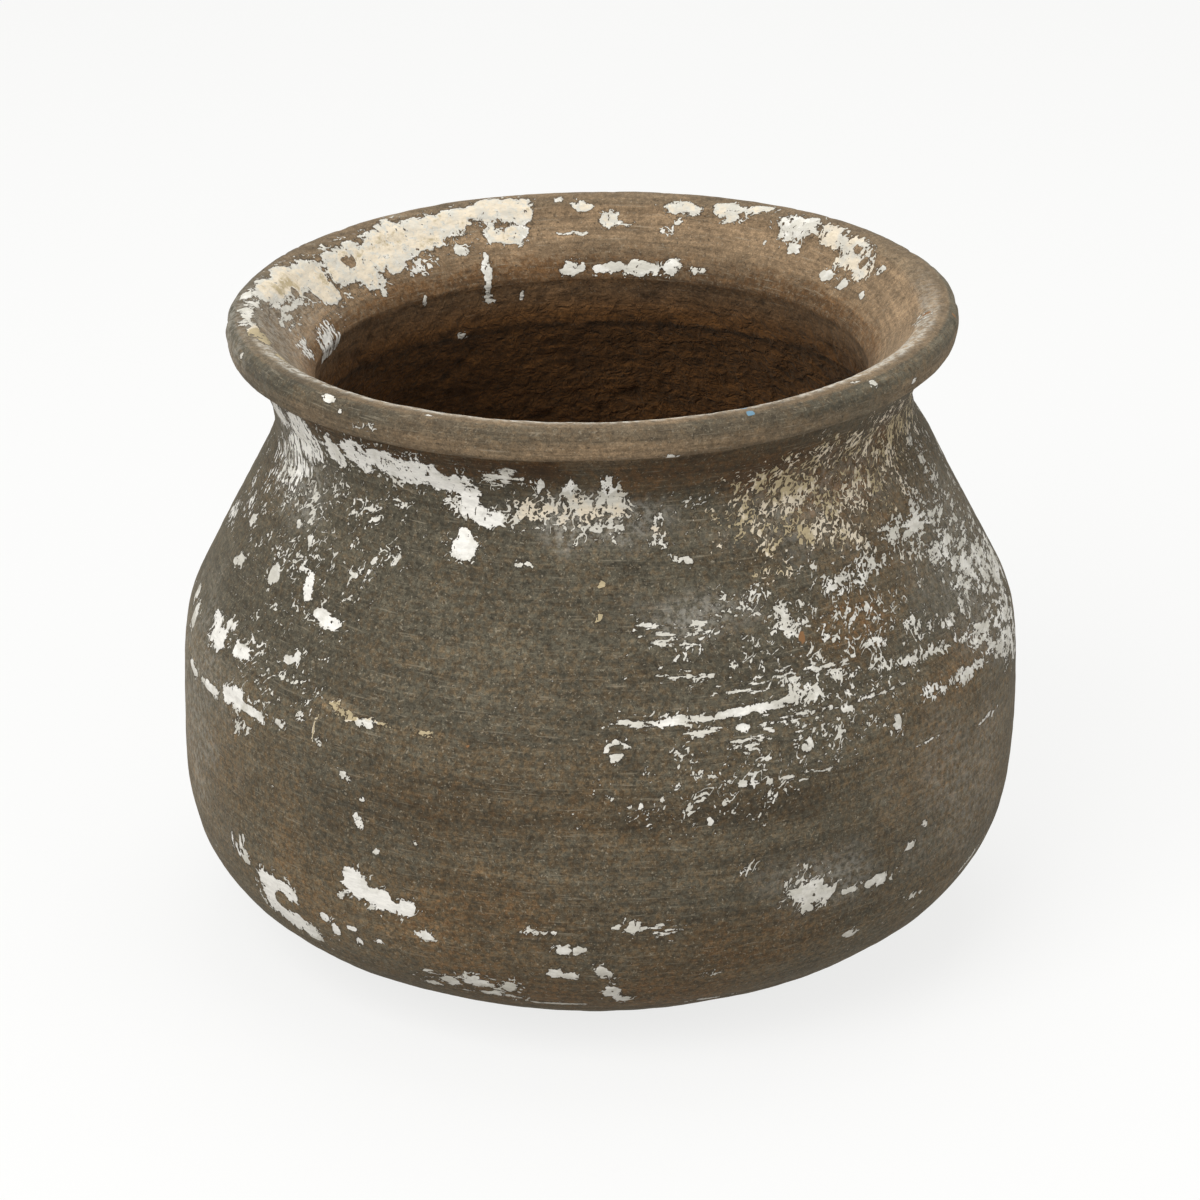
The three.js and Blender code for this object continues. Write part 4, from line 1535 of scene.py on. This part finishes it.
def add_floor(context, stage):
    """A wide, plain, pale floor."""
    mesh = bpy.data.meshes.new("studio_floor")
    corners = [(x * FLOOR_HALF, y * FLOOR_HALF, 0.0) for x, y in ((-1, -1), (1, -1), (1, 1), (-1, 1))]
    mesh.from_pydata(corners, [], [(0, 1, 2, 3)])
    mesh.materials.append(pale_surface(tuple(stage.floor)))
    floor = bpy.data.objects.new("studio_floor", mesh)
    context.scene.collection.objects.link(floor)


def add_room(context, stage):
    """Even light from all round, and the same pale tone behind the floor."""
    world = bpy.data.worlds.new("pale_room")
    context.scene.world = world
    shader = Shader(world)
    strength = shader.step(shader.seen_directly(), 0.0, 1.0, stage.ambient, ROOM_TONE)
    light = shader.add("ShaderNodeBackground", [("Color", ROOM_WHITE), ("Strength", strength)])
    shader.add("ShaderNodeOutputWorld", [("Surface", light.outputs[0])])


def add_lights(context, stage):
    """A broad key from the front left, a fill from the right and a soft light from above."""
    for lamp in (
            Lamp("key_light", stage.key_power, (-0.9, -1.4, 1.65), 1.5),
            Lamp("fill_light", stage.fill_power, (1.6, -1.1, 0.9), 1.4),
            Lamp("top_light", stage.top_power, (0.1, 0.5, 1.8), 1.2)):
        light = bpy.data.lights.new(lamp.name, "AREA")
        light.shape = "SQUARE"
        light.size = lamp.side
        light.energy = lamp.power
        holder = bpy.data.objects.new(lamp.name, light)
        holder.location = lamp.place
        ahead = Vector((0, 0, stage.aim)) - holder.location
        holder.rotation_euler = ahead.to_track_quat("-Z", "Y").to_euler()
        context.scene.collection.objects.link(holder)


def add_camera(context, stage):
    """The camera, at the angle of the photograph."""
    camera = bpy.data.cameras.new("photo_camera")
    camera.lens = stage.lens
    camera.sensor_width = SENSOR_WIDTH
    holder = bpy.data.objects.new("photo_camera", camera)
    back = Vector((0, -math.cos(stage.elevation), math.sin(stage.elevation)))
    holder.location = Vector((0, 0, stage.aim)) + back * stage.distance
    holder.rotation_euler = (-back).to_track_quat("-Z", "Y").to_euler()
    context.scene.collection.objects.link(holder)
    context.scene.camera = holder


# Operators

class WATERPOT_OT_base_dish(bpy.types.Operator):
    """Make the pressed dish with the flat underside"""

    bl_idname = "waterpot.base_dish"
    bl_label = "Base dish"

    def execute(self, context):
        turned_piece(context, "base_dish", body_clay(context.scene.water_pot))
        return {"FINISHED"}


class WATERPOT_OT_lower_wall(bpy.types.Operator):
    """Make the beaten lower wall"""

    bl_idname = "waterpot.lower_wall"
    bl_label = "Lower wall"

    def execute(self, context):
        turned_piece(context, "lower_wall", body_clay(context.scene.water_pot))
        return {"FINISHED"}


class WATERPOT_OT_belly_band(bpy.types.Operator):
    """Make the band over the widest ring"""

    bl_idname = "waterpot.belly_band"
    bl_label = "Belly band"

    def execute(self, context):
        turned_piece(context, "belly_band", body_clay(context.scene.water_pot))
        return {"FINISHED"}


class WATERPOT_OT_shoulder_wall(bpy.types.Operator):
    """Make the sloping shoulder"""

    bl_idname = "waterpot.shoulder_wall"
    bl_label = "Shoulder"

    def execute(self, context):
        turned_piece(context, "shoulder_wall", body_clay(context.scene.water_pot))
        return {"FINISHED"}


class WATERPOT_OT_neck_collar(bpy.types.Operator):
    """Make the throat and the flare"""

    bl_idname = "waterpot.neck_collar"
    bl_label = "Neck collar"

    def execute(self, context):
        turned_piece(context, "neck_collar", rim_clay(context.scene.water_pot))
        return {"FINISHED"}


class WATERPOT_OT_rim_lip(bpy.types.Operator):
    """Make the rolled lip"""

    bl_idname = "waterpot.rim_lip"
    bl_label = "Lip"

    def execute(self, context):
        turned_piece(context, "rim_lip", rim_clay(context.scene.water_pot))
        return {"FINISHED"}


class WATERPOT_OT_coils(bpy.types.Operator):
    """Make the coils that lute the joints"""

    bl_idname = "waterpot.coils"
    bl_label = "Luting coils"

    def execute(self, context):
        settings = context.scene.water_pot
        for node in ("base_coil", "belly_coil", "waist_coil"):
            turned_piece(context, node, luting_clay(settings))
        turned_piece(context, "neck_coil", body_clay(settings))
        return {"FINISHED"}


class WATERPOT_OT_stage(bpy.types.Operator):
    """Make the floor, the lights, the room's light and the camera"""

    bl_idname = "waterpot.stage"
    bl_label = "Stage"

    def execute(self, context):
        stage = context.scene.water_pot.stage
        context.scene.view_settings.view_transform = "Standard"
        add_floor(context, stage)
        add_room(context, stage)
        add_lights(context, stage)
        add_camera(context, stage)
        return {"FINISHED"}


class WATERPOT_PT_panel(bpy.types.Panel):
    """Lists the pot's settings and pieces"""

    bl_idname = "WATERPOT_PT_panel"
    bl_label = "Water pot"
    bl_space_type = "VIEW_3D"
    bl_region_type = "UI"
    bl_category = "Water pot"

    def draw(self, context):
        settings = context.scene.water_pot
        for group in (settings.clay, settings.lime, settings.relief, settings.stage):
            box = self.layout.box()
            for name in group.__annotations__:
                box.prop(group, name)
        for operator in OPERATORS:
            self.layout.operator(operator.bl_idname)


OPERATORS = (
    WATERPOT_OT_base_dish,
    WATERPOT_OT_lower_wall,
    WATERPOT_OT_belly_band,
    WATERPOT_OT_shoulder_wall,
    WATERPOT_OT_neck_collar,
    WATERPOT_OT_rim_lip,
    WATERPOT_OT_coils,
    WATERPOT_OT_stage,
)
CLASSES = (
    ClaySettings, LimeSettings, ReliefSettings, StageSettings, WaterPotSettings,
    *OPERATORS, WATERPOT_PT_panel)


def register():
    """Makes the classes and the scene's settings known."""
    for each in CLASSES:
        bpy.utils.register_class(each)
    bpy.types.Scene.water_pot = PointerProperty(
        type=WaterPotSettings, name="Water pot", description="All settings of the pot")


def unregister():
    """Takes the scene's settings and the classes away again."""
    del bpy.types.Scene.water_pot
    for each in reversed(CLASSES):
        bpy.utils.unregister_class(each)


def main():
    register()
    bpy.ops.waterpot.base_dish()
    bpy.ops.waterpot.lower_wall()
    bpy.ops.waterpot.belly_band()
    bpy.ops.waterpot.shoulder_wall()
    bpy.ops.waterpot.neck_collar()
    bpy.ops.waterpot.rim_lip()
    bpy.ops.waterpot.coils()
    bpy.ops.waterpot.stage()


if __name__ == "__main__":
    main()
